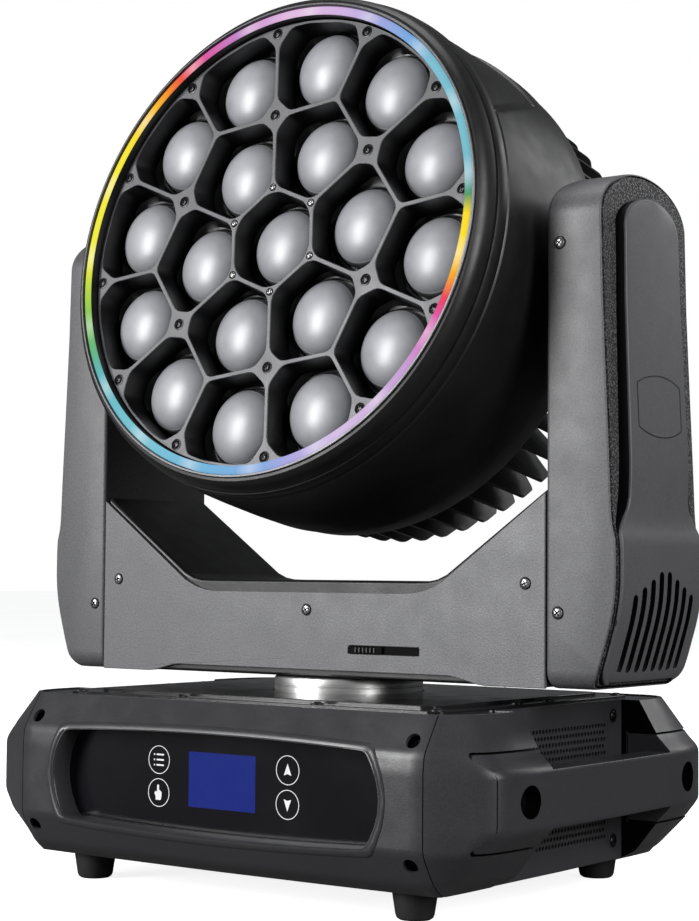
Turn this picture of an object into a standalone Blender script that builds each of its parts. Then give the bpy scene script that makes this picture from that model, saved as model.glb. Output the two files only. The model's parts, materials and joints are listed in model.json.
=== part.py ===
"""Moving head wash light: a base, a yoke that pans on it, and a nineteen-lens head that tilts in the yoke.

Units are metres. +Z is up, the display side faces -Y, and the origin is on the floor on the pan axis.
The head's pieces are modelled in head coordinates: the origin on the tilt axis, +Z along the beam.
"""

import math

import bmesh
import bpy
from mathutils import Matrix, Vector

# ---------------------------------------------------------------- driving sizes

GAP = 0.0003                  # clearance between pieces that touch
WALL = 0.003                  # moulded covers and sheet covers

# base: half sizes of its plan outline at each level, from the top edge to the underside
# (height, front at centre, front at seam, corner x, corner y, side at handle end, side at centre)
BASE_LEVELS = (
    (0.1320, 0.1430, 0.1420, 0.1880, 0.1280, 0.1950, 0.1960),
    (0.1080, 0.1610, 0.1570, 0.2040, 0.1390, 0.2095, 0.2105),
    (0.0970, 0.1625, 0.1580, 0.2150, 0.1370, 0.2210, 0.2230),
    (0.0600, 0.1625, 0.1580, 0.2150, 0.1370, 0.2210, 0.2230),
    (0.0470, 0.1625, 0.1580, 0.2040, 0.1390, 0.2080, 0.2090),
    (0.0260, 0.1510, 0.1465, 0.1840, 0.1290, 0.1910, 0.1920),
    (0.0190, 0.1410, 0.1370, 0.1742, 0.1290, 0.1750, 0.1755),
)
SEAM_X = 0.1735               # seam between the front cover and the side covers
HANDLE_END_Y = 0.107          # station where the side begins to turn into the corner
COVER_DEPTH = 0.032           # how far the front and rear covers reach back from the front
TOP_PLATE = 0.003

# recess and carrying handle on each side of the base
RECESS_HALF = 0.079           # half length of the finger recess
RECESS_X = 0.181              # face of the recess's back wall
LUG_HALF = 0.1335             # half length of the handle
LUG_Z = (0.048, 0.109)        # height of the handle's end lugs
GRIP_Z = (0.060, 0.097)       # height of the grip between the lugs
GRIP_THICK = 0.022
LUG_X = 0.186                 # inner face of the lugs
HANDLE_SCREW_Y = 0.105
HANDLE_SCREW_R = 0.0105

# barrel-shaped window in the front cover, and the same recess in the rear cover
WINDOW_MID = 0.1395           # half width at mid height
WINDOW_END = 0.1285           # half width at the top and bottom
WINDOW_Z = (0.0445, 0.1110)
WINDOW_RIM = 0.004
GLASS_FACE_Y = 0.1422
GLASS_THICK = 0.003

FOOT_XY = (0.140, 0.116)
FOOT_TOP_R = 0.015
FOOT_R = 0.0125
FOOT_HEIGHT = 0.020
TRAY_THICK = 0.0025
POST_XY = (0.150, 0.098)
POST_HALF = 0.007

# connectors: name, place across the rear, half width and half height
SOCKETS = (
    ("power_inlet", -0.075, 0.0135, 0.0115),
    ("data_in", 0.015, 0.0115, 0.0125),
    ("data_out", 0.062, 0.0115, 0.0125),
)
SOCKET_Z = 0.077
SUPPLY_LOW = (0.020, -0.070, 0.026)
SUPPLY_HIGH = (0.150, 0.070, 0.062)

# pan drive
HUB_R = 0.054
HUB_CLEAR = 0.0006
HUB_TOP = 0.1451
HUB_BOTTOM = 0.070
HUB_BORE_R = 0.032
PAN_PULLEY_R = 0.045
PAN_PINION_R = 0.01125        # four turns of the motor for one of the yoke
PAN_PULLEY_Z = (0.084, 0.098)
PAN_MOTOR_X = -0.105
MOTOR_SIZE = 0.042
MOTOR_SHAFT_R = 0.0025
PAN_MOTOR_HEIGHT = 0.040
BELT_THICK = 0.0016
BELT_CLEAR = 0.0004

# yoke
YOKE_Y = 0.008                # centre of the yoke's depth, on the tilt axis
YOKE_DEPTH = 0.1184
YOKE_BOTTOM = 0.1454
YOKE_SPAN = 0.1967            # seam between the cross member and each arm
COVER_FLAT = 0.083            # half width of the flat bottom of the U
COVER_FLAT_Z = 0.2058
COVER_BEND = (0.1152, 0.2142)
COVER_SHOULDER_Z = 0.2731
CHANNEL_PROUD = 0.0082        # the cross member stands above the cover's flat edge
CHANNEL_SLOPE_PROUD = 0.0034
CHANNEL_WALL = 0.0045
RELIEF = 0.0056               # the covers' bottom edge lifts in the middle
RELIEF_X = (0.120, 0.150)

ARM_INNER = 0.1970
ARM_ARCH_Z = 0.455            # springing line of the arm's arched top
ARM_ARCH_RISE = 0.032
ARM_SHOULDER_Z = 0.243        # the widest height of the arm
ARM_PROFILE = (               # outer side of the arm: distance from centre and height
    (0.2289, 0.1454), (0.2344, 0.1526), (0.2420, 0.1760), (0.2488, 0.2020), (0.2492, ARM_SHOULDER_Z),
    (0.2464, 0.2500), (0.2447, 0.2868), (0.2396, 0.3966), (0.2382, 0.4575), (0.2370, 0.4870),
)
ARM_INNER_CHAMFER = 0.012
ARM_BORDER = 0.0197           # width of the arm's outer border
ARM_GROOVE = 0.0045           # gap between the border and the raised cover
ARM_LEDGE = 0.014             # width of the ledge that the cover sits on
ARM_LEDGE_X = 0.229
ARM_SKIRT = 0.0042            # thickness of the cover's full-width lower part
ARM_SKIRT_TOP = 0.2395
VENT_COUNT = 8                # slots low in each arm's cover, longest in the middle
VENT_PITCH = 0.011
VENT_WIDTH = 0.005
VENT_UNDER_Z = 0.156
VENT_TOP_Z = 0.207
VENT_RISE = 0.005

# tilt drive, inside the left arm
TILT_Z = 0.4326
REST_TILT = math.radians(79.3)
TRUNNION_R = 0.012
TRUNNION_CLEAR = 0.0006
TRUNNION_REACH = 0.212
TILT_PULLEY_R = 0.0180
TILT_PINION_R = 0.0060        # three turns of the motor for one of the head
TILT_PULLEY_X = (0.2140, 0.2240)
TILT_MOTOR_Z = 0.300
TILT_MOTOR_X = (0.2015, 0.2120)

# pan lock: a slider in a slot of the yoke's front cover
LOCK_SLOT_X = (0.0370, 0.0970)
LOCK_SLOT_Z = (0.1633, 0.1691)
LOCK_TAB = 0.028

# head, along the beam from the tilt axis
FACE_Z = 0.112                # front of the light ring
BEZEL_OUT_R = 0.1800
RING_R = (0.1636, 0.1706)     # light ring
COMB_R = 0.1632
COMB_Z = (0.080, 0.105)
COMB_WEB = 0.0032
BOSS_INNER, BOSS_MIDDLE, BOSS_OUTER = 0.0392, 0.0945, 0.1585
BOSS_REACH = (0.0030, 0.0068, 0.0058)
SHELL_FRONT_Z = 0.0865
SHELL_REAR_Z = -0.006
SHELL_R = 0.186
FRAME_REAR_Z = -0.031
FRAME_R = 0.1835
FIN_REAR_Z = -0.116
FIN_R = 0.1755
FIN_ROOT_R = 0.064
FIN_COUNT = 60
FIN_THICK = 0.0026

# optics
LENS_TURN = math.radians(7)   # the whole pattern is turned a little about the beam
LENS_RINGS = ((1, 0.0, 0.0), (6, 0.069, 0.0), (12, 0.132, math.radians(15)))
LENS_R = 0.028
LENS_RIM = 0.0065
LENS_DOME = 0.0145
ZOOM_PLATE_Z = (0.0735, 0.0765)
ZOOM_PLATE_R = 0.158
BOARD_Z = (0.044, 0.0465)
BOARD_R = 0.158
CORE_R = 0.062

FAN_R = 0.054
FAN_HUB_R = 0.020
FAN_Z = (-0.110, -0.092)
FAN_BLADES = 7
FAN_WELL_R = 0.060
FAN_WELL_Z = -0.088

# ---------------------------------------------------------------- scene and helpers

for old in list(bpy.data.objects):
    bpy.data.objects.remove(old, do_unlink=True)

scene_root = bpy.context.scene.collection
parts = bpy.data.collections.new("moving_head_light")
cutters = bpy.data.collections.new("cutters")
scene_root.children.link(parts)
scene_root.children.link(cutters)

TO_YZ = (math.pi / 2, 0.0, math.pi / 2)    # an outline drawn in (y, z), thickness along x
TO_XZ = (math.pi / 2, 0.0, 0.0)            # an outline drawn in (x, z), thickness along -y


def material(name, colour, metallic=0.0, roughness=0.5, emission=0.0, alpha=1.0):
    """A Principled material with one plain finish."""
    mat = bpy.data.materials.new(name)
    mat.use_nodes = True
    shader = mat.node_tree.nodes["Principled BSDF"]
    shader.inputs["Base Color"].default_value = (*colour, 1.0)
    shader.inputs["Metallic"].default_value = metallic
    shader.inputs["Roughness"].default_value = roughness
    shader.inputs["Alpha"].default_value = alpha
    shader.inputs["Emission Color"].default_value = (*colour, 1.0)
    shader.inputs["Emission Strength"].default_value = emission
    return mat


MOULDING = material("moulding", (0.060, 0.060, 0.065), 0.0, 0.42)
PLATE = material("plate", (0.110, 0.110, 0.115), 0.1, 0.45)
BLACK = material("black", (0.012, 0.012, 0.013), 0.0, 0.50)
RUBBER = material("rubber", (0.015, 0.015, 0.015), 0.0, 0.80)
STEEL = material("steel", (0.560, 0.560, 0.570), 1.0, 0.28)
ALUMINIUM = material("aluminium", (0.180, 0.180, 0.185), 0.9, 0.45)
GLASS = material("panel_glass", (0.008, 0.008, 0.011), 0.0, 0.10)
LENS = material("lens", (0.560, 0.580, 0.600), 0.0, 0.25, alpha=0.6)
LIGHT = material("light_ring", (0.240, 0.620, 0.700), 0.0, 0.40, emission=1.0)
BOARD = material("circuit_board", (0.020, 0.140, 0.060), 0.0, 0.50)
BELT = material("belt", (0.018, 0.018, 0.018), 0.0, 0.70)


def place(obj, mat=None, parent=None, location=(0, 0, 0), rotation=(0, 0, 0)):
    """Put an object among the parts, or among the cutters where it has no material."""
    if mat is None:
        cutters.objects.link(obj)
        obj.hide_render = True
        obj.display_type = "WIRE"
    else:
        parts.objects.link(obj)
        obj.data.materials.clear()
        obj.data.materials.append(mat)
    obj.parent = parent
    obj.location = location
    obj.rotation_euler = rotation
    return obj


def from_bmesh(name, bm):
    """A new object from a bmesh, with its round sides shaded smooth."""
    bmesh.ops.recalc_face_normals(bm, faces=bm.faces)
    mesh = bpy.data.meshes.new(name)
    bm.to_mesh(mesh)
    bm.free()
    mesh.shade_smooth()
    mesh.set_sharp_from_angle(angle=math.radians(32))
    return bpy.data.objects.new(name, mesh)


def box(name, low, high, mat=None, parent=None, bevel=0.0):
    """A box between two corners, with its origin at its centre."""
    low, high = Vector(low), Vector(high)
    bm = bmesh.new()
    bmesh.ops.create_cube(bm, size=1.0)
    bmesh.ops.scale(bm, vec=high - low, verts=bm.verts)
    obj = place(from_bmesh(name, bm), mat, parent, (low + high) / 2)
    if bevel:
        rounding = obj.modifiers.new("edges", "BEVEL")
        rounding.width = bevel
        rounding.segments = 1
        rounding.limit_method = "ANGLE"
    return obj


def rod(name, radius, low, high, mat=None, parent=None, centre=(0, 0), axis="Z", sides=32, top=None):
    """A cylinder, or a cone where top is given, between two places along an axis."""
    bm = bmesh.new()
    bmesh.ops.create_cone(
        bm, cap_ends=True, segments=sides, depth=high - low,
        radius1=radius, radius2=radius if top is None else top,
    )
    middle = (low + high) / 2
    location = {"Z": (*centre, middle), "X": (middle, *centre), "Y": (centre[0], middle, centre[1])}[axis]
    rotation = {"Z": (0, 0, 0), "X": (0, math.pi / 2, 0), "Y": (-math.pi / 2, 0, 0)}[axis]
    return place(from_bmesh(name, bm), mat, parent, location, rotation)


def turned(
    name, profile, mat=None, parent=None, location=(0, 0, 0), rotation=(0, 0, 0), steps=48, closed=True
):
    """A profile of (radius, height) points, running down its outer side, turned about Z."""
    bm = bmesh.new()
    verts = [bm.verts.new((r, 0.0, z)) for r, z in profile]
    for a, b in zip(verts, verts[1:]):
        bm.edges.new((a, b))
    if closed:
        bm.edges.new((verts[-1], verts[0]))
    mesh = bpy.data.meshes.new(name)
    bm.to_mesh(mesh)
    bm.free()
    obj = place(bpy.data.objects.new(name, mesh), mat, parent, location, rotation)
    screw = obj.modifiers.new("turn", "SCREW")
    screw.steps = steps
    screw.render_steps = steps
    screw.use_merge_vertices = True
    screw.merge_threshold = 0.00001
    screw.use_smooth_shade = True
    return obj


def plate(name, outlines, thickness, mat=None, parent=None, location=(0, 0, 0), rotation=(0, 0, 0)):
    """A flat piece from a closed outline and its holes, centred on its thickness."""
    curve = bpy.data.curves.new(name, "CURVE")
    curve.dimensions = "2D"
    curve.fill_mode = "BOTH"
    curve.extrude = thickness / 2
    for outline in outlines:
        spline = curve.splines.new("POLY")
        spline.points.add(len(outline) - 1)
        for point, (u, v) in zip(spline.points, outline):
            point.co = (u, v, 0.0, 1.0)
        spline.use_cyclic_u = True
    source = bpy.data.objects.new(name + "_outline", curve)
    scene_root.objects.link(source)
    evaluated = source.evaluated_get(bpy.context.evaluated_depsgraph_get())
    bm = bmesh.new()
    bm.from_mesh(bpy.data.meshes.new_from_object(evaluated))
    bmesh.ops.remove_doubles(bm, verts=bm.verts, dist=0.00001)
    bpy.data.objects.remove(source, do_unlink=True)
    return place(from_bmesh(name, bm), mat, parent, location, rotation)


def boolean(obj, operation, *others):
    """Cut, keep or join other solids, one Boolean each."""
    for other in others:
        step = obj.modifiers.new(operation.lower() + "_" + other.name, "BOOLEAN")
        step.operation = operation
        step.solver = "EXACT"
        step.object = other
    return obj


def cut(obj, *others):
    return boolean(obj, "DIFFERENCE", *others)


def keep(obj, *others):
    return boolean(obj, "INTERSECT", *others)


def join(obj, *others):
    return boolean(obj, "UNION", *others)


def circle(radius, sides, centre=(0.0, 0.0), start=0.0):
    """Points round a circle."""
    turns = [start + 2 * math.pi * i / sides for i in range(sides)]
    return [(centre[0] + radius * math.cos(t), centre[1] + radius * math.sin(t)) for t in turns]


def mirrored(half):
    """A closed outline from its half at u > 0, listed from the top down."""
    return list(half) + [(-u, v) for u, v in reversed(half)]


def empty(name, parent=None, location=(0, 0, 0), rotation=(0, 0, 0)):
    """An empty that carries the pieces of one body and stands on its joint's axis."""
    holder = bpy.data.objects.new(name, None)
    parts.objects.link(holder)
    holder.parent = parent
    holder.location = location
    holder.rotation_euler = rotation
    return holder


# ---------------------------------------------------------------- base housing


def base_ring(level, inset):
    """The plan outline of the base at one level, inset by a wall."""
    _, front, seam_front, corner_x, corner_y, side_end, side = level
    diagonal = inset * math.sqrt(0.5)
    quarter = (
        (0.0, front - inset),
        (min(SEAM_X, corner_x - diagonal - 0.001), seam_front - inset),
        (corner_x - diagonal, corner_y - diagonal),
        (side_end - inset, HANDLE_END_Y),
        (side - inset, 0.0),
    )
    ring = [(x, -y) for x, y in quarter]
    ring += [(x, y) for x, y in reversed(quarter[:-1])]
    ring += [(-x, y) for x, y in quarter[1:]]
    ring += [(-x, -y) for x, y in reversed(quarter[1:-1])]
    return ring


def base_form(name, inset=0.0, reach=0.0):
    """A solid with the base's outer shape, inset, and extended straight past its top and underside."""
    bm = bmesh.new()
    sections = [(level[0], level) for level in BASE_LEVELS]
    if reach:
        top, under = BASE_LEVELS[0], BASE_LEVELS[-1]
        sections = [(top[0] + reach, top)] + sections + [(under[0] - reach, under)]
    rings = []
    for height, level in sections:
        rings.append([bm.verts.new((x, y, height)) for x, y in base_ring(level, inset)])
    count = len(rings[0])
    for upper, lower in zip(rings, rings[1:]):
        for i in range(count):
            j = (i + 1) % count
            bm.faces.new((upper[i], lower[i], lower[j], upper[j]))
    bm.faces.new(rings[0])
    bm.faces.new(list(reversed(rings[-1])))
    bmesh.ops.triangulate(bm, faces=bm.faces)
    return from_bmesh(name, bm)


FAR = 0.300
BASE_TOP = BASE_LEVELS[0][0]
BASE_UNDER = BASE_LEVELS[-1][0]
COVER_BACK_Y = BASE_LEVELS[2][1] - COVER_DEPTH

def barrel(inset):
    """The window's outline in (x, z): level top and bottom, bowed ends, small corner cuts."""
    low, high = WINDOW_Z[0] + inset, WINDOW_Z[1] - inset
    middle, half = (low + high) / 2, (high - low) / 2
    right = []
    for i in range(9):
        v = 1.0 - 2.0 * i / 8
        bow = WINDOW_END + (WINDOW_MID - WINDOW_END) * (1.0 - v * v) - inset
        right.append((bow - (0.006 if abs(v) == 1.0 else 0.0), middle + v * half))
    return right + [(-u, v) for u, v in reversed(right)]


def end_cover(name, side, window_depth):
    """The front or rear cover: a moulded wall with a framed barrel-shaped recess."""
    cover = place(base_form(name), MOULDING)
    y_far, y_near = side * FAR, side * COVER_BACK_Y
    region = box(name + "_region", (-SEAM_X, min(y_far, y_near), -0.01), (SEAM_X, max(y_far, y_near), 0.2))
    keep(cover, region)
    frame_y = (side * (GLASS_FACE_Y - 0.003), side * FAR)
    frame = plate(
        name + "_frame", [barrel(-WINDOW_RIM)], abs(frame_y[1] - frame_y[0]),
        location=(0, sum(frame_y) / 2, 0), rotation=TO_XZ,
    )
    hollow = place(base_form(name + "_hollow", WALL, 0.010))
    cut(hollow, frame)
    cut(cover, hollow)
    mouth_y = (side * (GLASS_FACE_Y - window_depth), side * FAR)
    mouth = plate(
        name + "_mouth", [barrel(0.0)], abs(mouth_y[1] - mouth_y[0]),
        location=(0, sum(mouth_y) / 2, 0), rotation=TO_XZ,
    )
    cut(cover, mouth)
    return cover


front_cover = end_cover("front_cover", -1, 0.020)
rear_cover = end_cover("rear_cover", 1, 0.0)

display_glass = plate(
    "display_glass", [barrel(GAP)], GLASS_THICK, GLASS,
    location=(0, -(GLASS_FACE_Y - GLASS_THICK / 2), 0), rotation=TO_XZ,
)


def side_cover(name, side):
    """One side cover: two corners, joined by the recess's end walls and vented back wall."""
    cover = place(base_form(name), MOULDING)
    seam = side * (SEAM_X + GAP)
    back = side * (RECESS_X - WALL)
    face = side * RECESS_X
    far = side * FAR
    wall_end = RECESS_HALF + WALL
    xs = sorted((-side * FAR, seam))
    middle = box(name + "_middle", (xs[0], -FAR, -0.01), (xs[1], FAR, 0.2))
    inner = sorted((seam - side * 0.01, back))
    behind = box(name + "_behind", (inner[0], -wall_end, -0.01), (inner[1], wall_end, 0.2))
    outer = sorted((face, far))
    recess = box(name + "_recess", (outer[0], -RECESS_HALF, -0.01), (outer[1], RECESS_HALF, 0.2))
    cut(cover, middle, behind, recess)
    for end in (-1, 1):
        hollow = place(base_form(f"{name}_hollow_{end + 1}", WALL, 0.010))
        ys = sorted((end * wall_end, end * FAR))
        keep(hollow, box(f"{name}_corner_{end + 1}", (-FAR, ys[0], -0.05), (FAR, ys[1], 0.25)))
        xs = sorted((side * (LUG_X - GAP), far))
        ys = sorted((end * (RECESS_HALF - 0.001), end * (LUG_HALF + GAP)))
        notch = box(
            f"{name}_notch_{end + 1}", (xs[0], ys[0], LUG_Z[0] - GAP), (xs[1], ys[1], LUG_Z[1] + GAP)
        )
        cut(cover, hollow, notch)
    vents = []
    for i in range(5):
        z = 0.040 + 0.0185 * i
        xs = sorted((back - side * 0.01, face + side * 0.01))
        vents.append(box(f"{name}_vent_{i}", (xs[0], -0.056, z), (xs[1], 0.056, z + 0.006)))
    return cut(cover, *vents)


def handle(name, side):
    """A carrying handle: a grip with two lugs that fill the side cover's notches."""
    grip = place(base_form(name, 0.0004), MOULDING)
    face_x = BASE_LEVELS[2][6]
    xs = sorted((side * LUG_X, side * FAR))
    keep(grip, box(name + "_blank", (xs[0], -LUG_HALF, LUG_Z[0]), (xs[1], LUG_HALF, LUG_Z[1])))
    xs = sorted((side * (LUG_X - 0.01), side * (face_x - GRIP_THICK)))
    fingers = box(name + "_fingers", (xs[0], -RECESS_HALF, 0.0), (xs[1], RECESS_HALF, 0.2))
    xs = sorted((side * (LUG_X - 0.02), side * FAR))
    above = box(name + "_above", (xs[0], -RECESS_HALF, GRIP_Z[1]), (xs[1], RECESS_HALF, 0.2))
    below = box(name + "_below", (xs[0], -RECESS_HALF, 0.0), (xs[1], RECESS_HALF, GRIP_Z[0]))
    cut(grip, fingers, above, below)
    for end in (-1, 1):
        lows = sorted((side * (face_x - 0.014), side * FAR))
        cut(grip, rod(
            f"{name}_screw_{end + 1}", HANDLE_SCREW_R, lows[0], lows[1],
            centre=(end * HANDLE_SCREW_Y, sum(GRIP_Z) / 2), axis="X", sides=20,
        ))
    return grip


for side, word in ((1, "right"), (-1, "left")):
    side_cover(word + "_side_cover", side)
    handle(word + "_handle", side)

# top plate: fills the covers' top opening and has the hub's hole
top_level = BASE_LEVELS[0]
plate_edge = base_ring(top_level, WALL + GAP)
wall_x = RECESS_X - WALL - GAP
wall_y = RECESS_HALF + WALL + GAP


def notched(ring):
    """The ring with a straight notch beside each side cover's back wall."""
    points = []
    for x, y in ring:
        if abs(y) > wall_y or abs(x) < wall_x:
            points.append((x, y))
        elif y == 0.0:
            edge = math.copysign(top_level[5] - WALL - GAP, x)
            notch = math.copysign(wall_x, x)
            turn = math.copysign(wall_y, -x)
            points += [(edge, turn), (notch, turn), (notch, -turn), (edge, -turn)]
    return points


base_top_plate = plate(
    "base_top_plate", [notched(plate_edge), circle(HUB_R + HUB_CLEAR, 48)], TOP_PLATE, PLATE,
    location=(0, 0, BASE_TOP - TOP_PLATE / 2),
)

# tray with four posts that carry the top plate
base_tray = plate(
    "base_tray", [base_ring(BASE_LEVELS[-1], WALL + GAP)], TRAY_THICK, PLATE,
    location=(0, 0, FOOT_HEIGHT + TRAY_THICK / 2),
)
post_top = BASE_TOP - TOP_PLATE - GAP
foot_profile = (
    (0.0, FOOT_HEIGHT - GAP), (FOOT_TOP_R, FOOT_HEIGHT - GAP),
    (FOOT_R, 0.0015), (FOOT_R - 0.0015, 0.0), (0.0, 0.0),
)
for sy, end in ((-1, "front"), (1, "rear")):
    for sx, word in ((-1, "left"), (1, "right")):
        x, y = sx * POST_XY[0], sy * POST_XY[1]
        join(base_tray, box(
            f"post_{end}_{word}", (x - POST_HALF, y - POST_HALF, FOOT_HEIGHT + 0.001),
            (x + POST_HALF, y + POST_HALF, post_top),
        ))
        turned(
            f"foot_{end}_{word}", foot_profile, RUBBER,
            location=(sx * FOOT_XY[0], sy * FOOT_XY[1], 0), steps=24, closed=False,
        )

# connectors in the rear recess, and the power supply
for name, x, half_x, half_z in SOCKETS:
    hole = box(
        name + "_hole", (x - half_x - GAP, GLASS_FACE_Y - 0.01, SOCKET_Z - half_z - GAP),
        (x + half_x + GAP, GLASS_FACE_Y + 0.01, SOCKET_Z + half_z + GAP),
    )
    cut(rear_cover, hole)
    socket = box(
        name, (x - half_x, GLASS_FACE_Y - 0.022, SOCKET_Z - half_z),
        (x + half_x, GLASS_FACE_Y + 0.002, SOCKET_Z + half_z), BLACK,
    )
    flange = box(
        name + "_flange", (x - half_x - 0.004, GLASS_FACE_Y + GAP, SOCKET_Z - half_z - 0.004),
        (x + half_x + 0.004, GLASS_FACE_Y + 0.0025, SOCKET_Z + half_z + 0.004),
    )
    well = rod(
        name + "_well", half_z - 0.0025, GLASS_FACE_Y - 0.012, GLASS_FACE_Y + 0.02,
        centre=(x, SOCKET_Z), axis="Y", sides=20,
    )
    join(socket, flange)
    cut(socket, well)

power_supply = box("power_supply", SUPPLY_LOW, SUPPLY_HIGH, ALUMINIUM, bevel=0.001)

# pan motor, its pinion and the belt round the hub's pulley
pan_motor = box(
    "pan_motor",
    (PAN_MOTOR_X - MOTOR_SIZE / 2, -MOTOR_SIZE / 2, PAN_PULLEY_Z[0] - 0.002 - PAN_MOTOR_HEIGHT),
    (PAN_MOTOR_X + MOTOR_SIZE / 2, MOTOR_SIZE / 2, PAN_PULLEY_Z[0] - 0.002), BLACK, bevel=0.003,
)
join(pan_motor, rod(
    "pan_motor_shaft", MOTOR_SHAFT_R, PAN_PULLEY_Z[0] - 0.01, PAN_PULLEY_Z[1] + 0.003,
    centre=(PAN_MOTOR_X, 0), sides=12,
))


def pulley(name, radius, low, high, parent, teeth, location, rotation):
    """A toothed pulley with a bore for its motor's shaft."""
    outline = []
    for i in range(teeth):
        turn = 2 * math.pi * i / teeth
        for share, depth in ((-0.28, 0.0), (0.28, 0.0), (0.36, 0.0007), (0.64, 0.0007)):
            angle = turn + share * 2 * math.pi / teeth
            outline.append(((radius - depth) * math.cos(angle), (radius - depth) * math.sin(angle)))
    bore = circle(MOTOR_SHAFT_R + GAP, 12)
    return plate(name, [outline, bore], high - low, ALUMINIUM, parent, location, rotation)


def belt_path(radius_a, radius_b, distance, offset, sides=20):
    """The closed line round two pulleys, the first at the origin, the second along +u."""
    lean = math.acos((radius_a - radius_b) / distance)
    points = []
    for i in range(sides + 1):
        t = lean + (2 * math.pi - 2 * lean) * i / sides
        points.append(((radius_a + offset) * math.cos(t), (radius_a + offset) * math.sin(t)))
    for i in range(sides // 2 + 1):
        t = -lean + 2 * lean * i / (sides // 2)
        points.append((distance + (radius_b + offset) * math.cos(t), (radius_b + offset) * math.sin(t)))
    return points


def belt(name, radius_a, radius_b, distance, width, parent, location, rotation):
    """A belt round two pulleys."""
    outlines = [
        belt_path(radius_a, radius_b, distance, BELT_CLEAR + BELT_THICK),
        belt_path(radius_a, radius_b, distance, BELT_CLEAR),
    ]
    return plate(name, outlines, width, BELT, parent, location, rotation)


pan_pinion_axis = empty("pan_pinion_axis", location=(PAN_MOTOR_X, 0, sum(PAN_PULLEY_Z) / 2))
pulley(
    "pan_pinion", PAN_PINION_R, PAN_PULLEY_Z[0], PAN_PULLEY_Z[1], pan_pinion_axis, 12, (0, 0, 0), (0, 0, 0)
)
belt(
    "pan_belt", PAN_PULLEY_R, PAN_PINION_R, -PAN_MOTOR_X, PAN_PULLEY_Z[1] - PAN_PULLEY_Z[0] - 0.002,
    None, (0, 0, sum(PAN_PULLEY_Z) / 2), (0, 0, math.pi),
)

# ---------------------------------------------------------------- yoke

yoke = empty("yoke_axis")

turned(
    "pan_hub",
    (
        (HUB_R, HUB_TOP), (HUB_R, BASE_TOP - 0.012), (PAN_PULLEY_R + 0.006, BASE_TOP - 0.014),
        (PAN_PULLEY_R + 0.006, PAN_PULLEY_Z[1] + 0.002), (PAN_PULLEY_R, PAN_PULLEY_Z[1] + 0.001),
        (PAN_PULLEY_R, PAN_PULLEY_Z[0] - 0.001), (PAN_PULLEY_R + 0.006, PAN_PULLEY_Z[0] - 0.002),
        (PAN_PULLEY_R + 0.006, HUB_BOTTOM), (HUB_BORE_R, HUB_BOTTOM), (HUB_BORE_R, HUB_TOP),
    ),
    STEEL, yoke, steps=40,
)

cover_front_y = YOKE_Y - YOKE_DEPTH / 2
cover_rear_y = YOKE_Y + YOKE_DEPTH / 2
slope = (COVER_SHOULDER_Z - COVER_BEND[1]) / (YOKE_SPAN - COVER_BEND[0])


def cover_outline():
    """The yoke cover's outline in (x, z): a U above, a relieved straight edge below."""
    half = [
        (COVER_FLAT, COVER_FLAT_Z), (COVER_FLAT + 0.012, COVER_FLAT_Z + 0.0012),
        (COVER_FLAT + 0.023, COVER_FLAT_Z + 0.0040), COVER_BEND, (YOKE_SPAN, COVER_SHOULDER_Z),
        (YOKE_SPAN, YOKE_BOTTOM), (RELIEF_X[1], YOKE_BOTTOM), (RELIEF_X[0], YOKE_BOTTOM + RELIEF),
    ]
    return mirrored(half)


def channel_outline(inset):
    """The cross member's outline in (x, z), inset by a wall."""
    flat_z = COVER_FLAT_Z + CHANNEL_PROUD
    bend_z = COVER_BEND[1] + CHANNEL_SLOPE_PROUD
    meet_x = COVER_BEND[0] + (flat_z - bend_z) / slope
    side = YOKE_SPAN - GAP - inset
    rise = inset * 0.8
    half = [
        (meet_x - 0.008, flat_z - inset), (meet_x + 0.006, flat_z + 0.0045 - inset),
        (side, bend_z + (side - COVER_BEND[0]) * slope - inset - rise * 0.5),
        (side, YOKE_BOTTOM + GAP + inset),
    ]
    return mirrored(half)


front_y = cover_front_y + WALL + GAP
rear_y = cover_rear_y - WALL - GAP
channel = plate(
    "yoke_channel", [channel_outline(0.0)], rear_y - front_y, BLACK, yoke,
    (0, (front_y + rear_y) / 2, 0), TO_XZ,
)
pocket_front = front_y + CHANNEL_WALL + 0.002
cut(channel, plate(
    "yoke_pocket", [channel_outline(CHANNEL_WALL)], rear_y + 0.01 - pocket_front,
    location=(0, (pocket_front + rear_y + 0.01) / 2, 0), rotation=TO_XZ,
))
cut(channel, rod("yoke_cable_hole", HUB_BORE_R, YOKE_BOTTOM - 0.01, YOKE_BOTTOM + 0.02, sides=24))

lock_z = sum(LOCK_SLOT_Z) / 2
lock_slot = [
    (LOCK_SLOT_X[0], LOCK_SLOT_Z[0]), (LOCK_SLOT_X[1], LOCK_SLOT_Z[0]),
    (LOCK_SLOT_X[1], LOCK_SLOT_Z[1]), (LOCK_SLOT_X[0], LOCK_SLOT_Z[1]),
]
plate(
    "yoke_front_cover", [cover_outline(), lock_slot], WALL, PLATE, yoke,
    (0, cover_front_y + WALL / 2, 0), TO_XZ,
)
plate("yoke_rear_cover", [cover_outline()], WALL, PLATE, yoke, (0, cover_rear_y - WALL / 2, 0), TO_XZ)

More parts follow.
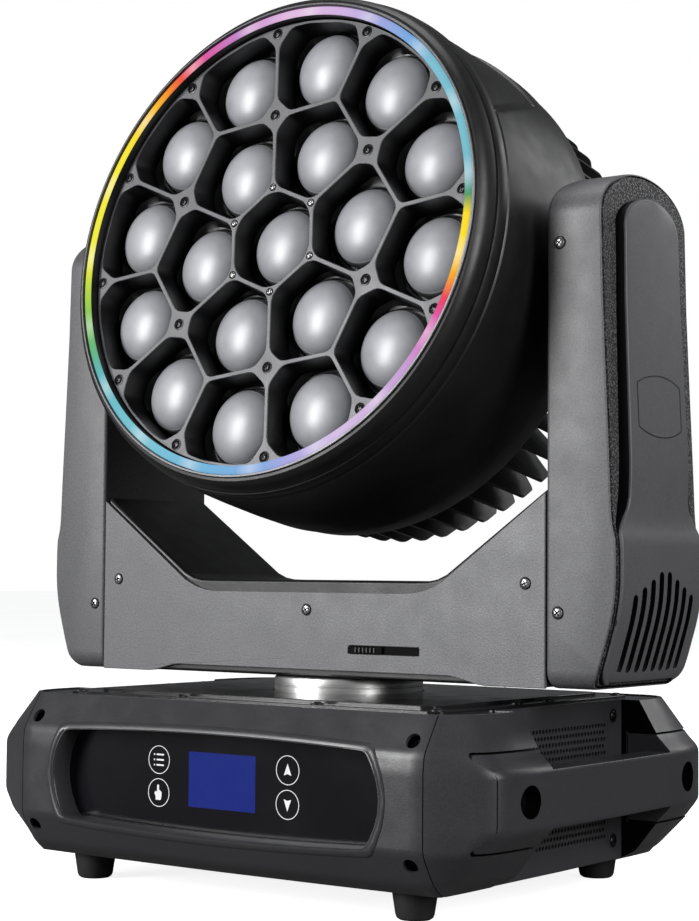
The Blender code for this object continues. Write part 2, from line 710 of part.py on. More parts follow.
LOCK_BACK = 0.0024
LOCK_TRAVEL = LOCK_SLOT_X[1] - LOCK_SLOT_X[0] - LOCK_TAB - 0.002
cut(channel, box(
    "lock_pocket",
    (LOCK_SLOT_X[0] - 0.008, front_y - 0.001, LOCK_SLOT_Z[0] - 0.005),
    (LOCK_SLOT_X[1] + 0.008, front_y + LOCK_BACK + 0.001, LOCK_SLOT_Z[1] + 0.005),
))
lock_axis = empty("pan_lock_axis", yoke, (LOCK_SLOT_X[0] + 0.001 + LOCK_TAB / 2, front_y, lock_z))
pan_lock = box(
    "pan_lock", (-LOCK_TAB / 2, -WALL, -0.0024), (LOCK_TAB / 2, LOCK_BACK, 0.0024), BLACK, lock_axis,
)
join(pan_lock, box(
    "pan_lock_plate", (-LOCK_TAB / 2 - 0.005, GAP, -0.006), (LOCK_TAB / 2 + 0.005, LOCK_BACK, 0.006),
    parent=lock_axis,
))

# ---------------------------------------------------------------- arms


def arm_outline(inset, floor=YOKE_BOTTOM):
    """The arm's side outline in (y, z): straight sides under a low elliptical arch."""
    half = YOKE_DEPTH / 2 - inset
    spring = ARM_ARCH_Z - inset * 0.9
    points = []
    for i in range(13):
        t = math.pi * i / 12
        points.append((YOKE_Y + half * math.cos(t), spring + ARM_ARCH_RISE * math.sin(t)))
    corner = max(0.001, 0.010 - inset)
    points += [
        (YOKE_Y - half, floor + corner), (YOKE_Y - half + corner, floor),
        (YOKE_Y + half - corner, floor), (YOKE_Y + half, floor + corner),
    ]
    return points


def x_plate(name, outlines, low, high, mat=None, parent=None):
    """A flat piece in (y, z), between two places along x."""
    return plate(name, outlines, high - low, mat, parent, ((low + high) / 2, 0, 0), TO_YZ)


def profile_slab(name, side, inner, offset, mat=None, parent=None):
    """The arm's front view: from an inner line out to its outer side, moved out by an offset."""
    outer = [(side * (x + offset), z) for x, z in ARM_PROFILE]
    points = outer + [(side * inner, z) for z in (ARM_PROFILE[-1][1], ARM_PROFILE[0][1])]
    if inner == ARM_INNER:
        top = ARM_PROFILE[-1][1]
        points = outer + [
            (side * (inner + ARM_INNER_CHAMFER), top), (side * inner, top - ARM_INNER_CHAMFER * 1.3),
            (side * inner, ARM_PROFILE[0][1]),
        ]
    return plate(name, [points], YOKE_DEPTH + 0.02, mat, parent, (0, YOKE_Y, 0), TO_XZ)


COVER_EDGE = ARM_BORDER + ARM_GROOVE
POCKET_EDGE = ARM_BORDER + ARM_LEDGE


def arm_cover_outline():
    """The raised cover in (y, z): full width at the bottom, stepping in to a narrow arched panel."""
    narrow = YOKE_DEPTH / 2 - COVER_EDGE
    wide = YOKE_DEPTH / 2
    spring = ARM_ARCH_Z - COVER_EDGE * 0.55
    points = []
    for i in range(9):
        t = math.pi * i / 8
        points.append((YOKE_Y + narrow * math.cos(t), spring + ARM_ARCH_RISE * 0.82 * math.sin(t)))
    step = ARM_SKIRT_TOP
    corner = 0.010
    points += [
        (YOKE_Y - narrow, step + 0.012), (YOKE_Y - narrow - 0.008, step + 0.002), (YOKE_Y - wide, step),
        (YOKE_Y - wide, YOKE_BOTTOM + corner), (YOKE_Y - wide + corner, YOKE_BOTTOM),
        (YOKE_Y + wide - corner, YOKE_BOTTOM), (YOKE_Y + wide, YOKE_BOTTOM + corner),
        (YOKE_Y + wide, step), (YOKE_Y + narrow + 0.008, step + 0.002), (YOKE_Y + narrow, step + 0.012),
    ]
    return points


def between(side, a, b):
    """Two distances from the centre as an ordered pair of x values on one side."""
    return sorted((side * a, side * b))


def arm(word, side):
    """One arm: a pocketed shell and its raised, vented outer cover."""
    lo, hi = between(side, ARM_INNER, 0.270)
    shell = x_plate(word + "_arm_shell", [arm_outline(0.0)], lo, hi, MOULDING, yoke)
    keep(shell, profile_slab(word + "_arm_profile", side, ARM_INNER, 0.0))
    lo, hi = between(side, ARM_LEDGE_X, 0.290)
    ledge = x_plate(word + "_ledge", [arm_outline(ARM_BORDER, YOKE_BOTTOM + 0.012)], lo, hi)
    lo, hi = between(side, ARM_INNER + 0.004, 0.290)
    pocket = x_plate(word + "_pocket", [arm_outline(POCKET_EDGE, YOKE_BOTTOM + 0.020)], lo, hi)
    lo, hi = between(side, ARM_INNER - 0.01, 0.290)
    trunnion_hole = rod(
        word + "_trunnion_hole", TRUNNION_R + TRUNNION_CLEAR, lo, hi,
        centre=(YOKE_Y, TILT_Z), axis="X", sides=24,
    )
    cut(shell, ledge, pocket, trunnion_hole)

    lo, hi = between(side, ARM_LEDGE_X + GAP, 0.290)
    cover = x_plate(word + "_arm_cover", [arm_cover_outline()], lo, hi, MOULDING, yoke)
    keep(cover, profile_slab(word + "_cover_profile", side, ARM_LEDGE_X, ARM_SKIRT))
    under = profile_slab(word + "_cover_under", side, 0.150, GAP)
    lo, hi = between(side, 0.150, 0.300)
    keep(under, x_plate(word + "_skirt_zone", [[
        (YOKE_Y - 0.08, YOKE_BOTTOM - 0.01), (YOKE_Y + 0.08, YOKE_BOTTOM - 0.01),
        (YOKE_Y + 0.08, ARM_SKIRT_TOP + 0.0125), (YOKE_Y - 0.08, ARM_SKIRT_TOP + 0.0125),
    ]], lo, hi))
    lo, hi = between(side, 0.160, 0.280)
    hollow = x_plate(word + "_cover_hollow", [arm_outline(COVER_EDGE + WALL, ARM_SKIRT_TOP + 0.005)], lo, hi)
    keep(hollow, profile_slab(word + "_hollow_profile", side, 0.150, ARM_SKIRT - WALL))
    cut(cover, under, hollow)
    lo, hi = between(side, 0.233, 0.290)
    for i in range(VENT_COUNT):
        y = YOKE_Y + (i - (VENT_COUNT - 1) / 2) * VENT_PITCH
        top = VENT_TOP_Z + VENT_RISE * min(i, VENT_COUNT - 1 - i)
        cut(cover, box(
            f"{word}_vent_{i}", (lo, y - VENT_WIDTH / 2, VENT_UNDER_Z), (hi, y + VENT_WIDTH / 2, top)
        ))


arm("right", 1)
arm("left", -1)

# tilt motor, pinion and belt in the left arm
motor_low, motor_high = between(-1, *TILT_MOTOR_X)
tilt_motor = box(
    "tilt_motor",
    (motor_low, YOKE_Y - MOTOR_SIZE / 2, TILT_MOTOR_Z - MOTOR_SIZE / 2),
    (motor_high, YOKE_Y + MOTOR_SIZE / 2, TILT_MOTOR_Z + MOTOR_SIZE / 2), BLACK, yoke, bevel=0.002,
)
join(tilt_motor, rod(
    "tilt_motor_shaft", MOTOR_SHAFT_R, *between(-1, TILT_MOTOR_X[1] - 0.004, TILT_PULLEY_X[1] + 0.002),
    centre=(YOKE_Y, TILT_MOTOR_Z), axis="X", sides=12,
))
tilt_belt_x = -sum(TILT_PULLEY_X) / 2
tilt_pinion_axis = empty("tilt_pinion_axis", yoke, (tilt_belt_x, YOKE_Y, TILT_MOTOR_Z))
pulley("tilt_pinion", TILT_PINION_R, *TILT_PULLEY_X, tilt_pinion_axis, 10, (0, 0, 0), TO_YZ)
belt(
    "tilt_belt", TILT_PULLEY_R, TILT_PINION_R, TILT_Z - TILT_MOTOR_Z,
    TILT_PULLEY_X[1] - TILT_PULLEY_X[0] - 0.002, yoke, (tilt_belt_x, YOKE_Y, TILT_Z), (0, math.pi / 2, 0),
)

# ---------------------------------------------------------------- head

head = empty("head_axis", yoke, (0, YOKE_Y, TILT_Z), (REST_TILT, 0, 0))

turned(
    "front_bezel",
    (
        (RING_R[1] + 0.0035, FACE_Z + 0.0010), (BEZEL_OUT_R - 0.002, FACE_Z - 0.0040),
        (BEZEL_OUT_R + 0.001, FACE_Z - 0.0140), (BEZEL_OUT_R + 0.002, SHELL_FRONT_Z + GAP),
        (RING_R[1] + GAP, SHELL_FRONT_Z + GAP), (RING_R[1] + GAP, FACE_Z + 0.0010),
    ),
    BLACK, head,
)
turned(
    "led_ring",
    (
        (RING_R[1], FACE_Z), (RING_R[1], FACE_Z - 0.008), (RING_R[0] + GAP, FACE_Z - 0.008),
        (RING_R[0] + GAP, FACE_Z),
    ),
    LIGHT, head,
)


def lens_places():
    """Ring number, number in the ring and centre of every lens."""
    places = []
    for ring, (count, radius, start) in enumerate(LENS_RINGS):
        for i in range(count):
            turn = LENS_TURN + start + 2 * math.pi * i / count
            places.append((ring, i, Vector((radius * math.cos(turn), radius * math.sin(turn)))))
    return places


def boss_places():
    """Centre and reach of every screw boss of the honeycomb."""
    rings = (
        (6, BOSS_INNER, math.radians(30), BOSS_REACH[0]),
        (6, BOSS_MIDDLE, math.radians(30), BOSS_REACH[1]),
        (12, BOSS_OUTER, 0.0, BOSS_REACH[2]),
    )
    bosses = []
    for count, radius, start, reach in rings:
        for i in range(count):
            turn = LENS_TURN + start + 2 * math.pi * i / count
            bosses.append((Vector((radius * math.cos(turn), radius * math.sin(turn))), reach))
    return bosses


def clip(outline, point, normal):
    """The part of a convex outline on the inner side of a line."""
    kept = []
    for a, b in zip(outline, outline[1:] + outline[:1]):
        da, db = (a - point).dot(normal), (b - point).dot(normal)
        if da <= 0:
            kept.append(a)
        if da * db < 0:
            kept.append(a.lerp(b, da / (da - db)))
    return kept


def cell(centre):
    """The honeycomb's opening round one lens: webs halfway to its neighbours, corners cut at the bosses."""
    outline = [centre + Vector(p) for p in circle(0.060, 4, start=math.pi / 4)]
    for _, _, other in lens_places():
        apart = other - centre
        if 0 < apart.length < 0.090:
            normal = apart.normalized()
            outline = clip(outline, centre + apart / 2 - normal * COMB_WEB / 2, normal)
    for boss, reach in boss_places():
        apart = boss - centre
        if apart.length < 0.060:
            normal = apart.normalized()
            outline = clip(outline, boss - normal * reach, normal)
    if centre.length > 0.1:
        for lean in (-10, 0, 10):
            normal = Matrix.Rotation(math.radians(lean), 2) @ centre.normalized()
            outline = clip(outline, normal * (COMB_R - 0.0018), normal)
    tidy = []
    for p in outline:
        if not tidy or (p - tidy[-1]).length > 0.0008:
            tidy.append(p)
    return [tuple(p) for p in tidy]


plate(
    "honeycomb", [circle(COMB_R, 72)] + [cell(centre) for _, _, centre in lens_places()],
    COMB_Z[1] - COMB_Z[0], PLATE, head, (0, 0, sum(COMB_Z) / 2),
)

# zoom carriage: a plate with a light hole under each lens, and the lenses on it
carriage = empty("zoom_carriage", head)
plate(
    "zoom_plate",
    [circle(ZOOM_PLATE_R, 48)] + [circle(LENS_R - 0.005, 8, tuple(c)) for _, _, c in lens_places()],
    ZOOM_PLATE_Z[1] - ZOOM_PLATE_Z[0], BLACK, carriage, (0, 0, sum(ZOOM_PLATE_Z) / 2),
)
lens_profile = [(0.0, LENS_RIM + LENS_DOME)]
for i in range(1, 3):
    t = math.pi / 2 * i / 2.5
    lens_profile.append((LENS_R * math.sin(t), LENS_RIM + LENS_DOME * math.cos(t)))
lens_profile += [(LENS_R, LENS_RIM), (LENS_R, 0.0), (0.0, 0.0)]
for ring, i, centre in lens_places():
    turned(
        ("lens_centre", f"lens_inner_{i + 1}", f"lens_outer_{i + 1}")[ring],
        lens_profile, LENS, carriage, (*centre, ZOOM_PLATE_Z[1] + GAP), steps=12, closed=False,
    )

rod("led_board", BOARD_R, BOARD_Z[0], BOARD_Z[1], BOARD, head, sides=48)

# frame with the trunnions, and the shell in front of it
head_frame = turned(
    "head_frame",
    (
        (0.1765, 0.022), (0.1765, SHELL_REAR_Z - GAP), (FRAME_R + 0.0015, SHELL_REAR_Z - GAP),
        (FRAME_R, FRAME_REAR_Z), (0.1640, FRAME_REAR_Z), (0.1640, 0.022),
    ),
    BLACK, head,
)
for side, word in ((1, "right"), (-1, "left")):
    lo, hi = between(side, 0.170, TRUNNION_REACH)
    join(head_frame, rod(word + "_trunnion", TRUNNION_R, lo, hi, parent=head, axis="X", sides=24))
lo, hi = between(-1, TRUNNION_REACH - 0.001, TILT_PULLEY_X[1])
join(head_frame, rod("tilt_pulley", TILT_PULLEY_R, lo, hi, parent=head, axis="X", sides=32))

head_shell = turned(
    "head_shell",
    (
        (BEZEL_OUT_R + WALL, SHELL_FRONT_Z), (0.1845, 0.060), (SHELL_R, 0.020), (SHELL_R, SHELL_REAR_Z),
        (SHELL_R - WALL, SHELL_REAR_Z), (SHELL_R - WALL, 0.020), (0.1845 - WALL, 0.060),
        (BEZEL_OUT_R, SHELL_FRONT_Z),
    ),
    BLACK, head,
)
cut(head_shell, rod(
    "shell_axle_hole", TRUNNION_R + TRUNNION_CLEAR, -0.2, 0.2, parent=head, axis="X", sides=24,
))

# heat sink: a core behind the board and radial fins that show at the rear
fin_outline = []
for i in range(FIN_COUNT):
    turn = 2 * math.pi * i / FIN_COUNT
    tip, root = FIN_THICK / 2 / FIN_R, FIN_THICK / 2 / FIN_ROOT_R
    for radius, lean in ((FIN_ROOT_R, -root), (FIN_R, -tip), (FIN_R, tip), (FIN_ROOT_R, root)):
        fin_outline.append((radius * math.cos(turn + lean), radius * math.sin(turn + lean)))
heat_sink = plate(
    "heat_sink", [fin_outline], FRAME_REAR_Z - GAP - FIN_REAR_Z, ALUMINIUM, head,
    (0, 0, (FRAME_REAR_Z - GAP + FIN_REAR_Z) / 2),
)
join(heat_sink, rod(
    "heat_sink_core", CORE_R, FRAME_REAR_Z - 0.01, BOARD_Z[0] - GAP, parent=head, sides=32,
))
cut(heat_sink, rod("fan_well", FAN_WELL_R, FIN_REAR_Z - 0.01, FAN_WELL_Z, parent=head, sides=32))

# cooling fan in the well at the rear
fan_axis = empty("fan_axis", head, (0, 0, sum(FAN_Z) / 2))
fan_half = (FAN_Z[1] - FAN_Z[0]) / 2
fan = rod("fan_rotor", FAN_HUB_R, -fan_half, fan_half, BLACK, fan_axis, sides=24)
for i in range(FAN_BLADES):
    blade = box(
        f"fan_blade_{i}", (FAN_HUB_R - 0.004, -0.011, -0.0009), (FAN_R, 0.011, 0.0009), parent=fan_axis
    )
    blade.rotation_mode = "QUATERNION"
    spin = Matrix.Rotation(2 * math.pi * i / FAN_BLADES, 3, "Z") @ Matrix.Rotation(math.radians(32), 3, "X")
    blade.rotation_quaternion = spin.to_quaternion()
    blade.location = Matrix.Rotation(2 * math.pi * i / FAN_BLADES, 3, "Z") @ Vector(
        ((FAN_HUB_R - 0.004 + FAN_R) / 2, 0, 0)
    )
    join(fan, blade)
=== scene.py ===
import json
import math

import bmesh
import bpy
from mathutils import Matrix, Vector


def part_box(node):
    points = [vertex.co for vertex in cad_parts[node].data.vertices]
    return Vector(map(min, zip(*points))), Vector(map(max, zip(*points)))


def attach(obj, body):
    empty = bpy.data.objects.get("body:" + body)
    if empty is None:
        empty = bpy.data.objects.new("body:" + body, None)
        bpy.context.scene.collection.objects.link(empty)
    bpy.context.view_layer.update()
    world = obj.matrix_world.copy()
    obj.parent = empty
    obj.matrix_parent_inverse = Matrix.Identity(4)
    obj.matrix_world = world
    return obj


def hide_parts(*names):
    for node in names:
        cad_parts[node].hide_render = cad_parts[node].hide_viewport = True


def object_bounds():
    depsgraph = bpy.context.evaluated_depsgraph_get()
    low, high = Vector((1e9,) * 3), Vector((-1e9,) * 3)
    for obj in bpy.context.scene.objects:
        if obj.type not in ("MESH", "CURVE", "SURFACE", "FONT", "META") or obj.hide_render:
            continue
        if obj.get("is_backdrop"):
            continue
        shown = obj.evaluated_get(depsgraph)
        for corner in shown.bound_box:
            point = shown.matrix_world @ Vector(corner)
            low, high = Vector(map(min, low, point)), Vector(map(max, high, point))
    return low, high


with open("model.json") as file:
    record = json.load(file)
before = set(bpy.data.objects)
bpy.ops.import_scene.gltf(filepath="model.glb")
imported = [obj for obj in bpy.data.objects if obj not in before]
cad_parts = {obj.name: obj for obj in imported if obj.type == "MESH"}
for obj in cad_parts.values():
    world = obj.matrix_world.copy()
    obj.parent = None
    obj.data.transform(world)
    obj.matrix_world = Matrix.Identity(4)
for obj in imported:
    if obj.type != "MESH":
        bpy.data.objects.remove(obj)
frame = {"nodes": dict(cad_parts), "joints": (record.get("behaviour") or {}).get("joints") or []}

# Looks of the moving head light. Units are metres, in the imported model's frame: +Z up, display side facing -Y.
# The head's pieces are made in head coordinates: the origin on the tilt axis, +Z along the beam.

cad_low, cad_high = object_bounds()
joints = {j["name"]: j for j in frame["joints"]}
tilt_axis = Vector(joints["tilt"]["pos_m"])
beam = Vector(joints["zoom"]["axis"]).normalized()
head_up = beam.cross(Vector((1, 0, 0))).normalized()
HEAD = Matrix.Translation(tilt_axis) @ Matrix((Vector((1, 0, 0)), head_up, beam)).transposed().to_4x4()

# ---------------------------------------------------------------- materials


class Graph:
    """A short way to add nodes to a material and link them."""

    def __init__(self, name):
        self.mat = bpy.data.materials.new(name)
        self.mat.use_nodes = True
        self.tree = self.mat.node_tree
        self.shader = self.tree.nodes["Principled BSDF"]
        self.place = self.tree.nodes.new("ShaderNodeTexCoord").outputs["Object"]

    def add(self, kind, links=None, values=None, **settings):
        made = self.tree.nodes.new(kind)
        for key, value in settings.items():
            setattr(made, key, value)
        for key, value in (values or {}).items():
            made.inputs[key].default_value = value
        for key, source in (links or {}).items():
            self.tree.links.new(source, made.inputs[key])
        return made

    def feed(self, socket, source):
        self.tree.links.new(source, self.shader.inputs[socket])

    def fix(self, values):
        for socket, value in values.items():
            self.shader.inputs[socket].default_value = value

    def noise(self, scale, detail=3.0, rough=0.55, stretch=None):
        source = self.place
        if stretch:
            source = self.add("ShaderNodeMapping", {"Vector": source}, {"Scale": stretch}).outputs["Vector"]
        return self.add(
            "ShaderNodeTexNoise", {"Vector": source}, {"Scale": scale, "Detail": detail, "Roughness": rough}
        ).outputs["Fac"]

    def cells(self, scale):
        return self.add("ShaderNodeTexVoronoi", {"Vector": self.place}, {"Scale": scale}).outputs["Distance"]

    def span(self, source, low, high, from_low=0.3, from_high=0.7):
        return self.add(
            "ShaderNodeMapRange", {"Value": source},
            {"From Min": from_low, "From Max": from_high, "To Min": low, "To Max": high},
        ).outputs["Result"]

    def ramp(self, source, stops):
        made = self.add("ShaderNodeValToRGB", {"Fac": source})
        bar = made.color_ramp.elements
        while len(bar) < len(stops):
            bar.new(0.5)
        for element, (place, colour) in zip(bar, stops):
            element.position = place
            element.color = (*colour, 1.0)
        return made.outputs["Color"]

    def drift(self, source, colour, amount):
        """A colour that wanders a little to either side."""
        low, high = [tuple(c * share for c in colour) for share in (1 - amount, 1 + amount)]
        return self.ramp(source, ((0.3, low), (0.7, high)))

    def bump(self, source, strength, distance):
        return self.add(
            "ShaderNodeBump", {"Height": source}, {"Strength": strength, "Distance": distance}
        ).outputs["Normal"]

    def multiply(self, base, veil):
        return self.add(
            "ShaderNodeMix", {6: base, 7: veil}, {0: 1.0}, data_type="RGBA", blend_type="MULTIPLY"
        ).outputs[2]


def surface(
    name, colour, rough, metallic=0.0, grain=1300.0, grain_bump=0.25, variation=0.10, rough_spread=0.05,
    specks=0.0, ior=1.46,
):
    """A moulded, painted or cast surface: slow colour drift, fine grain in bump and colour, uneven gloss."""
    g = Graph(name)
    fine = g.noise(grain, 2.0, 0.6)
    grains = g.ramp(fine, ((0.32, (0.86 - specks,) * 3), (0.68, (1.12 + specks,) * 3)))
    g.feed("Base Color", g.multiply(g.drift(g.noise(9.0), colour, variation), grains))
    g.feed("Roughness", g.span(g.noise(54.0, 4.0), rough - rough_spread, rough + rough_spread))
    g.feed("Normal", g.bump(fine, grain_bump, 0.0003))
    g.fix({"Metallic": metallic, "IOR": ior})
    return g.mat


BLACKS = {"grain_bump": 0.10, "variation": 0.2}
SATIN = surface("satin_grey", (0.098, 0.098, 0.103), 0.44, 0, 760, 0.30, 0.03, specks=0.09)
SHEET = surface("sheet_grey", (0.118, 0.118, 0.124), 0.44, 0.15, 820, 0.35, 0.03, specks=0.10)
MOULD = surface("moulded_grey", (0.033, 0.033, 0.036), 0.33, 0, 1000, 0.14, 0.04, specks=0.04)
COVER = surface("cover_grey", (0.082, 0.082, 0.087), 0.44, 0, 900, 0.18, 0.03, specks=0.05)
BLACK = surface("satin_black", (0.0055, 0.0055, 0.006), 0.40, 0, 1600, 0.16, 0.2)
# Near black for the real black parts, and painted shade in screw recesses, screw seats, slot walls and the sheets
# behind the grilles and arm vents.
DEEP_BLACK_AND_SHADE = surface("deep_black_and_painted_shade", (0.0030, 0.0030, 0.0034), 0.36, 0, 900, **BLACKS)
# Matt black for the pan lock's tab, and painted shadow on the handle recesses' end walls, the lug gaps, the bolt holes
# and the pan lock's well.
MATT_BLACK_AND_SHADOW = surface("matt_black_and_painted_shadow", (0.0022, 0.0022, 0.0025), 0.50, 0, 900, **BLACKS, ior=1.12)
RUBBER = surface("foot_rubber", (0.012, 0.012, 0.012), 0.72, 0, 700, 0.4, 0.25)
WEB = surface("web_grey", (0.085, 0.085, 0.092), 0.42, 0.2, 1400, 0.2)
ALLOY = surface("cast_alloy", (0.030, 0.030, 0.032), 0.42, 0.6, 600, 0.3, 0.25)
BELT = surface("belt_rubber", (0.015, 0.015, 0.015), 0.65, 0, 500, 0.4)
BOARD = surface("board_green", (0.012, 0.070, 0.035), 0.40, 0, 400, 0.1, 0.3)
DARK_SCREW = surface("screw_black", (0.012, 0.012, 0.013), 0.30, 0.6, 800, 0.1)
GLOSS = surface("gloss_sheet", (0.012, 0.012, 0.013), 0.17, 0, 700, 0.12, rough_spread=0.04)
BRIGHT_SCREW = surface("screw_steel", (0.42, 0.42, 0.42), 0.32, 1.0, 900, 0.12)
LINE = surface("edge_silver", (0.085, 0.085, 0.090), 0.38, 0.6, 900, 0.05)


def leather():
    """Black moulded leather grain: raised pebbles with glossy tops and dull valleys; the tops painted light grey as a
    painted highlight, the valleys painted near black as painted shade.
    """
    g = Graph("leather_grain_painted_sheen")
    pebbles = g.cells(620.0)
    fine = g.noise(2600.0, 2.0)
    tops = g.span(pebbles, 1.0, 0.0, 0.05, 0.65)
    height = g.add("ShaderNodeMath", {0: tops, 1: fine}, operation="ADD").outputs[0]
    # Painted highlight on the pebble tops and painted shade in the valleys.
    g.feed("Base Color", g.ramp(pebbles, ((0.10, (0.170, 0.170, 0.176)), (0.55, (0.018, 0.018, 0.020)))))
    g.feed("Roughness", g.span(pebbles, 0.26, 0.60, 0.1, 0.6))
    g.feed("Normal", g.bump(height, 0.9, 0.0006))
    return g.mat


def steel():
    """Turned and polished steel: fine rings round the axis."""
    g = Graph("turned_steel")
    rings = g.noise(1.0, 2.0, 0.5, (6.0, 6.0, 2600.0))
    stain = g.noise(26.0, 4.0)
    g.feed("Base Color", g.ramp(stain, ((0.3, (0.74, 0.73, 0.71)), (0.7, (0.86, 0.86, 0.86)))))
    g.feed("Roughness", g.span(rings, 0.30, 0.42))
    g.feed("Normal", g.bump(rings, 0.12, 0.0002))
    g.fix({"Metallic": 1.0})
    return g.mat


def panel():
    """Gloss black acrylic with faint haze."""
    g = Graph("panel_gloss")
    haze = g.noise(14.0, 4.0)
    g.feed("Base Color", g.ramp(haze, ((0.3, (0.0068, 0.0064, 0.0085)), (0.7, (0.0080, 0.0076, 0.0100)))))
    g.feed("Roughness", g.span(haze, 0.10, 0.18))
    g.fix({"IOR": 1.30})
    return g.mat


def lit(name, colour, strength, drift=0.06, unlit=1.0, ior=1.5):
    """A lit or printed mark with a slight unevenness."""
    g = Graph(name)
    shades = g.drift(g.noise(220.0), colour, drift)
    dim = g.add("ShaderNodeHueSaturation", {"Color": shades}, {"Value": unlit})
    g.feed("Base Color", dim.outputs["Color"])
    g.feed("Emission Color", shades)
    g.feed("Roughness", g.span(g.noise(60.0), 0.25, 0.35))
    g.fix({"Emission Strength": strength, "IOR": ior})
    return g.mat


def lens_glass():
    """A frosted dome lens, grey and slightly cloudy, under a clear smooth skin, its grey painted with light and shade
    by height.
    """
    g = Graph("lens_frosted_painted_light")
    split = g.add("ShaderNodeSeparateXYZ", {"Vector": g.place})
    # Painted light by height: near black round the rim as painted shade, a thin bright band on the dome as a painted
    # highlight, lighter towards the crown.
    height = g.span(split.outputs["Z"], 0.0, 1.0, 0.078, 0.0985)
    tone = g.ramp(height, (
        (0.0, (0.02, 0.02, 0.022)), (0.28, (0.05, 0.051, 0.055)), (0.47, (0.12, 0.122, 0.130)),
        (0.505, (0.46, 0.465, 0.48)), (0.53, (0.235, 0.240, 0.258)), (1.0, (0.40, 0.405, 0.430)),
    ))
    cloud = g.noise(90.0, 4.0)
    g.feed("Base Color", g.multiply(tone, g.ramp(cloud, ((0.3, (0.92,) * 3), (0.7, (1.06,) * 3)))))
    g.feed("Roughness", g.span(cloud, 0.36, 0.46))
    g.fix({"Coat Weight": 0.45, "Coat Roughness": 0.30, "Coat IOR": 1.5})
    return g.mat


def colour_wheel():
    """The glowing ring: hues round the head, with paler spots over each emitter."""
    g = Graph("ring_light")
    facing = g.add("ShaderNodeMapping", {"Vector": g.place}, {"Rotation": (0.0, 0.0, math.pi)}).outputs["Vector"]
    turn = g.add("ShaderNodeTexGradient", {"Vector": facing}, gradient_type="RADIAL").outputs["Fac"]
    hues = (
        (0, (0.90, 0.70, 0.02)), (4, (0.08, 0.32, 0.12)), (9, (0.18, 0.50, 0.60)), (42, (0.20, 0.52, 0.64)),
        (50, (0.16, 0.40, 0.74)), (62, (0.34, 0.38, 0.74)), (74, (0.62, 0.44, 0.74)), (92, (0.74, 0.48, 0.74)),
        (108, (0.52, 0.22, 0.56)), (118, (0.66, 0.10, 0.36)), (126, (0.80, 0.04, 0.06)), (132, (0.90, 0.24, 0.02)),
        (139, (0.95, 0.55, 0.03)), (152, (0.92, 0.80, 0.04)), (182, (0.84, 0.82, 0.05)), (188, (0.48, 0.66, 0.06)),
        (196, (0.22, 0.54, 0.08)), (207, (0.12, 0.44, 0.22)), (214, (0.12, 0.46, 0.52)), (238, (0.20, 0.54, 0.64)),
        (258, (0.16, 0.46, 0.70)), (278, (0.22, 0.40, 0.74)), (287, (0.42, 0.38, 0.74)), (300, (0.66, 0.52, 0.78)),
        (322, (0.56, 0.34, 0.66)), (334, (0.70, 0.12, 0.46)), (340, (0.82, 0.04, 0.10)), (345, (0.94, 0.36, 0.02)),
        (351, (1.00, 0.74, 0.02)),
    )
    colour = g.ramp(turn, [(degrees / 360, hue) for degrees, hue in hues])
    count = g.add("ShaderNodeMath", {0: turn}, {1: 38.0}, operation="MULTIPLY").outputs[0]
    wave = g.add("ShaderNodeMath", {0: count}, {1: 1.0}, operation="PINGPONG").outputs[0]
    spot = g.span(wave, 0.0, 0.30, 0.55, 1.0)
    mixed = g.add("ShaderNodeMix", {0: spot, 6: colour}, {7: (1.0, 0.97, 0.95, 1.0)}, data_type="RGBA")
    dim = g.add("ShaderNodeHueSaturation", {"Color": mixed.outputs[2]}, {"Value": 0.16})
    g.feed("Base Color", dim.outputs["Color"])
    g.feed("Emission Color", mixed.outputs[2])
    g.fix({"Emission Strength": 0.80, "IOR": 1.18})
    g.feed("Roughness", g.span(g.noise(300.0), 0.55, 0.70))
    g.feed("Normal", g.bump(g.noise(500.0), 0.1, 0.0002))
    return g.mat


LEATHER, STEEL, PANEL, LENS, RING = leather(), steel(), panel(), lens_glass(), colour_wheel()
SCREEN = lit("screen_blue", (0.0135, 0.024, 0.185), 1.0, drift=0.02, unlit=0.12, ior=1.12)
PRINT = lit("print_white", (0.55, 0.55, 0.56), 0.55)

# ---------------------------------------------------------------- making pieces

XY = Matrix.Identity(4)
XZ = Matrix(((1, 0, 0, 0), (0, 0, -1, 0), (0, 1, 0, 0), (0, 0, 0, 1)))   # outline in (x, z), thickness along -y
YZ = Matrix(((0, 0, 1, 0), (1, 0, 0, 0), (0, 1, 0, 0), (0, 0, 0, 1)))    # outline in (y, z), thickness along +x


def spread(side, a, b):
    """The same stretch of an axis on either side, low end first."""
    return sorted((side * a, side * b))


def sharpen(obj, angle):
    """Smooth shading, with edges kept from an angle in degrees."""
    obj.data.shade_smooth()
    obj.data.set_sharp_from_angle(angle=math.radians(angle))
    return obj


def linked(name, mesh):
    obj = bpy.data.objects.new(name, mesh)
    bpy.context.scene.collection.objects.link(obj)
    return obj


def bare(name, bm, mats, angle=32.0):
    """An object from a bmesh, smooth up to an angle."""
    bmesh.ops.recalc_face_normals(bm, faces=bm.faces)
    mesh = bpy.data.meshes.new(name)
    bm.to_mesh(mesh)
    bm.free()
    for mat in mats:
        mesh.materials.append(mat)
    return sharpen(linked(name, mesh), angle)


def piece(obj, body, replaces=(), matrix=None):
    """Puts an object in place on its body and hides the CAD nodes it stands for."""
    if matrix is not None:
        obj.matrix_world = matrix
    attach(obj, body)
    if replaces:
        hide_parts(*replaces)
    return obj


def grid(rows, close_u=False, close_v=False, marks=None):
    """Quads over rows of points. marks gives a material number for each band between two rows."""
    bm = bmesh.new()
    made = [[bm.verts.new(p) for p in row] for row in rows]
    for i in range(len(made) if close_v else len(made) - 1):
        low, high = made[i], made[(i + 1) % len(made)]
        for j in range(len(low) if close_u else len(low) - 1):
            k = (j + 1) % len(low)
            face = bm.faces.new((low[j], low[k], high[k], high[j]))
            face.material_index = marks[i] if marks else 0
    return bm, made


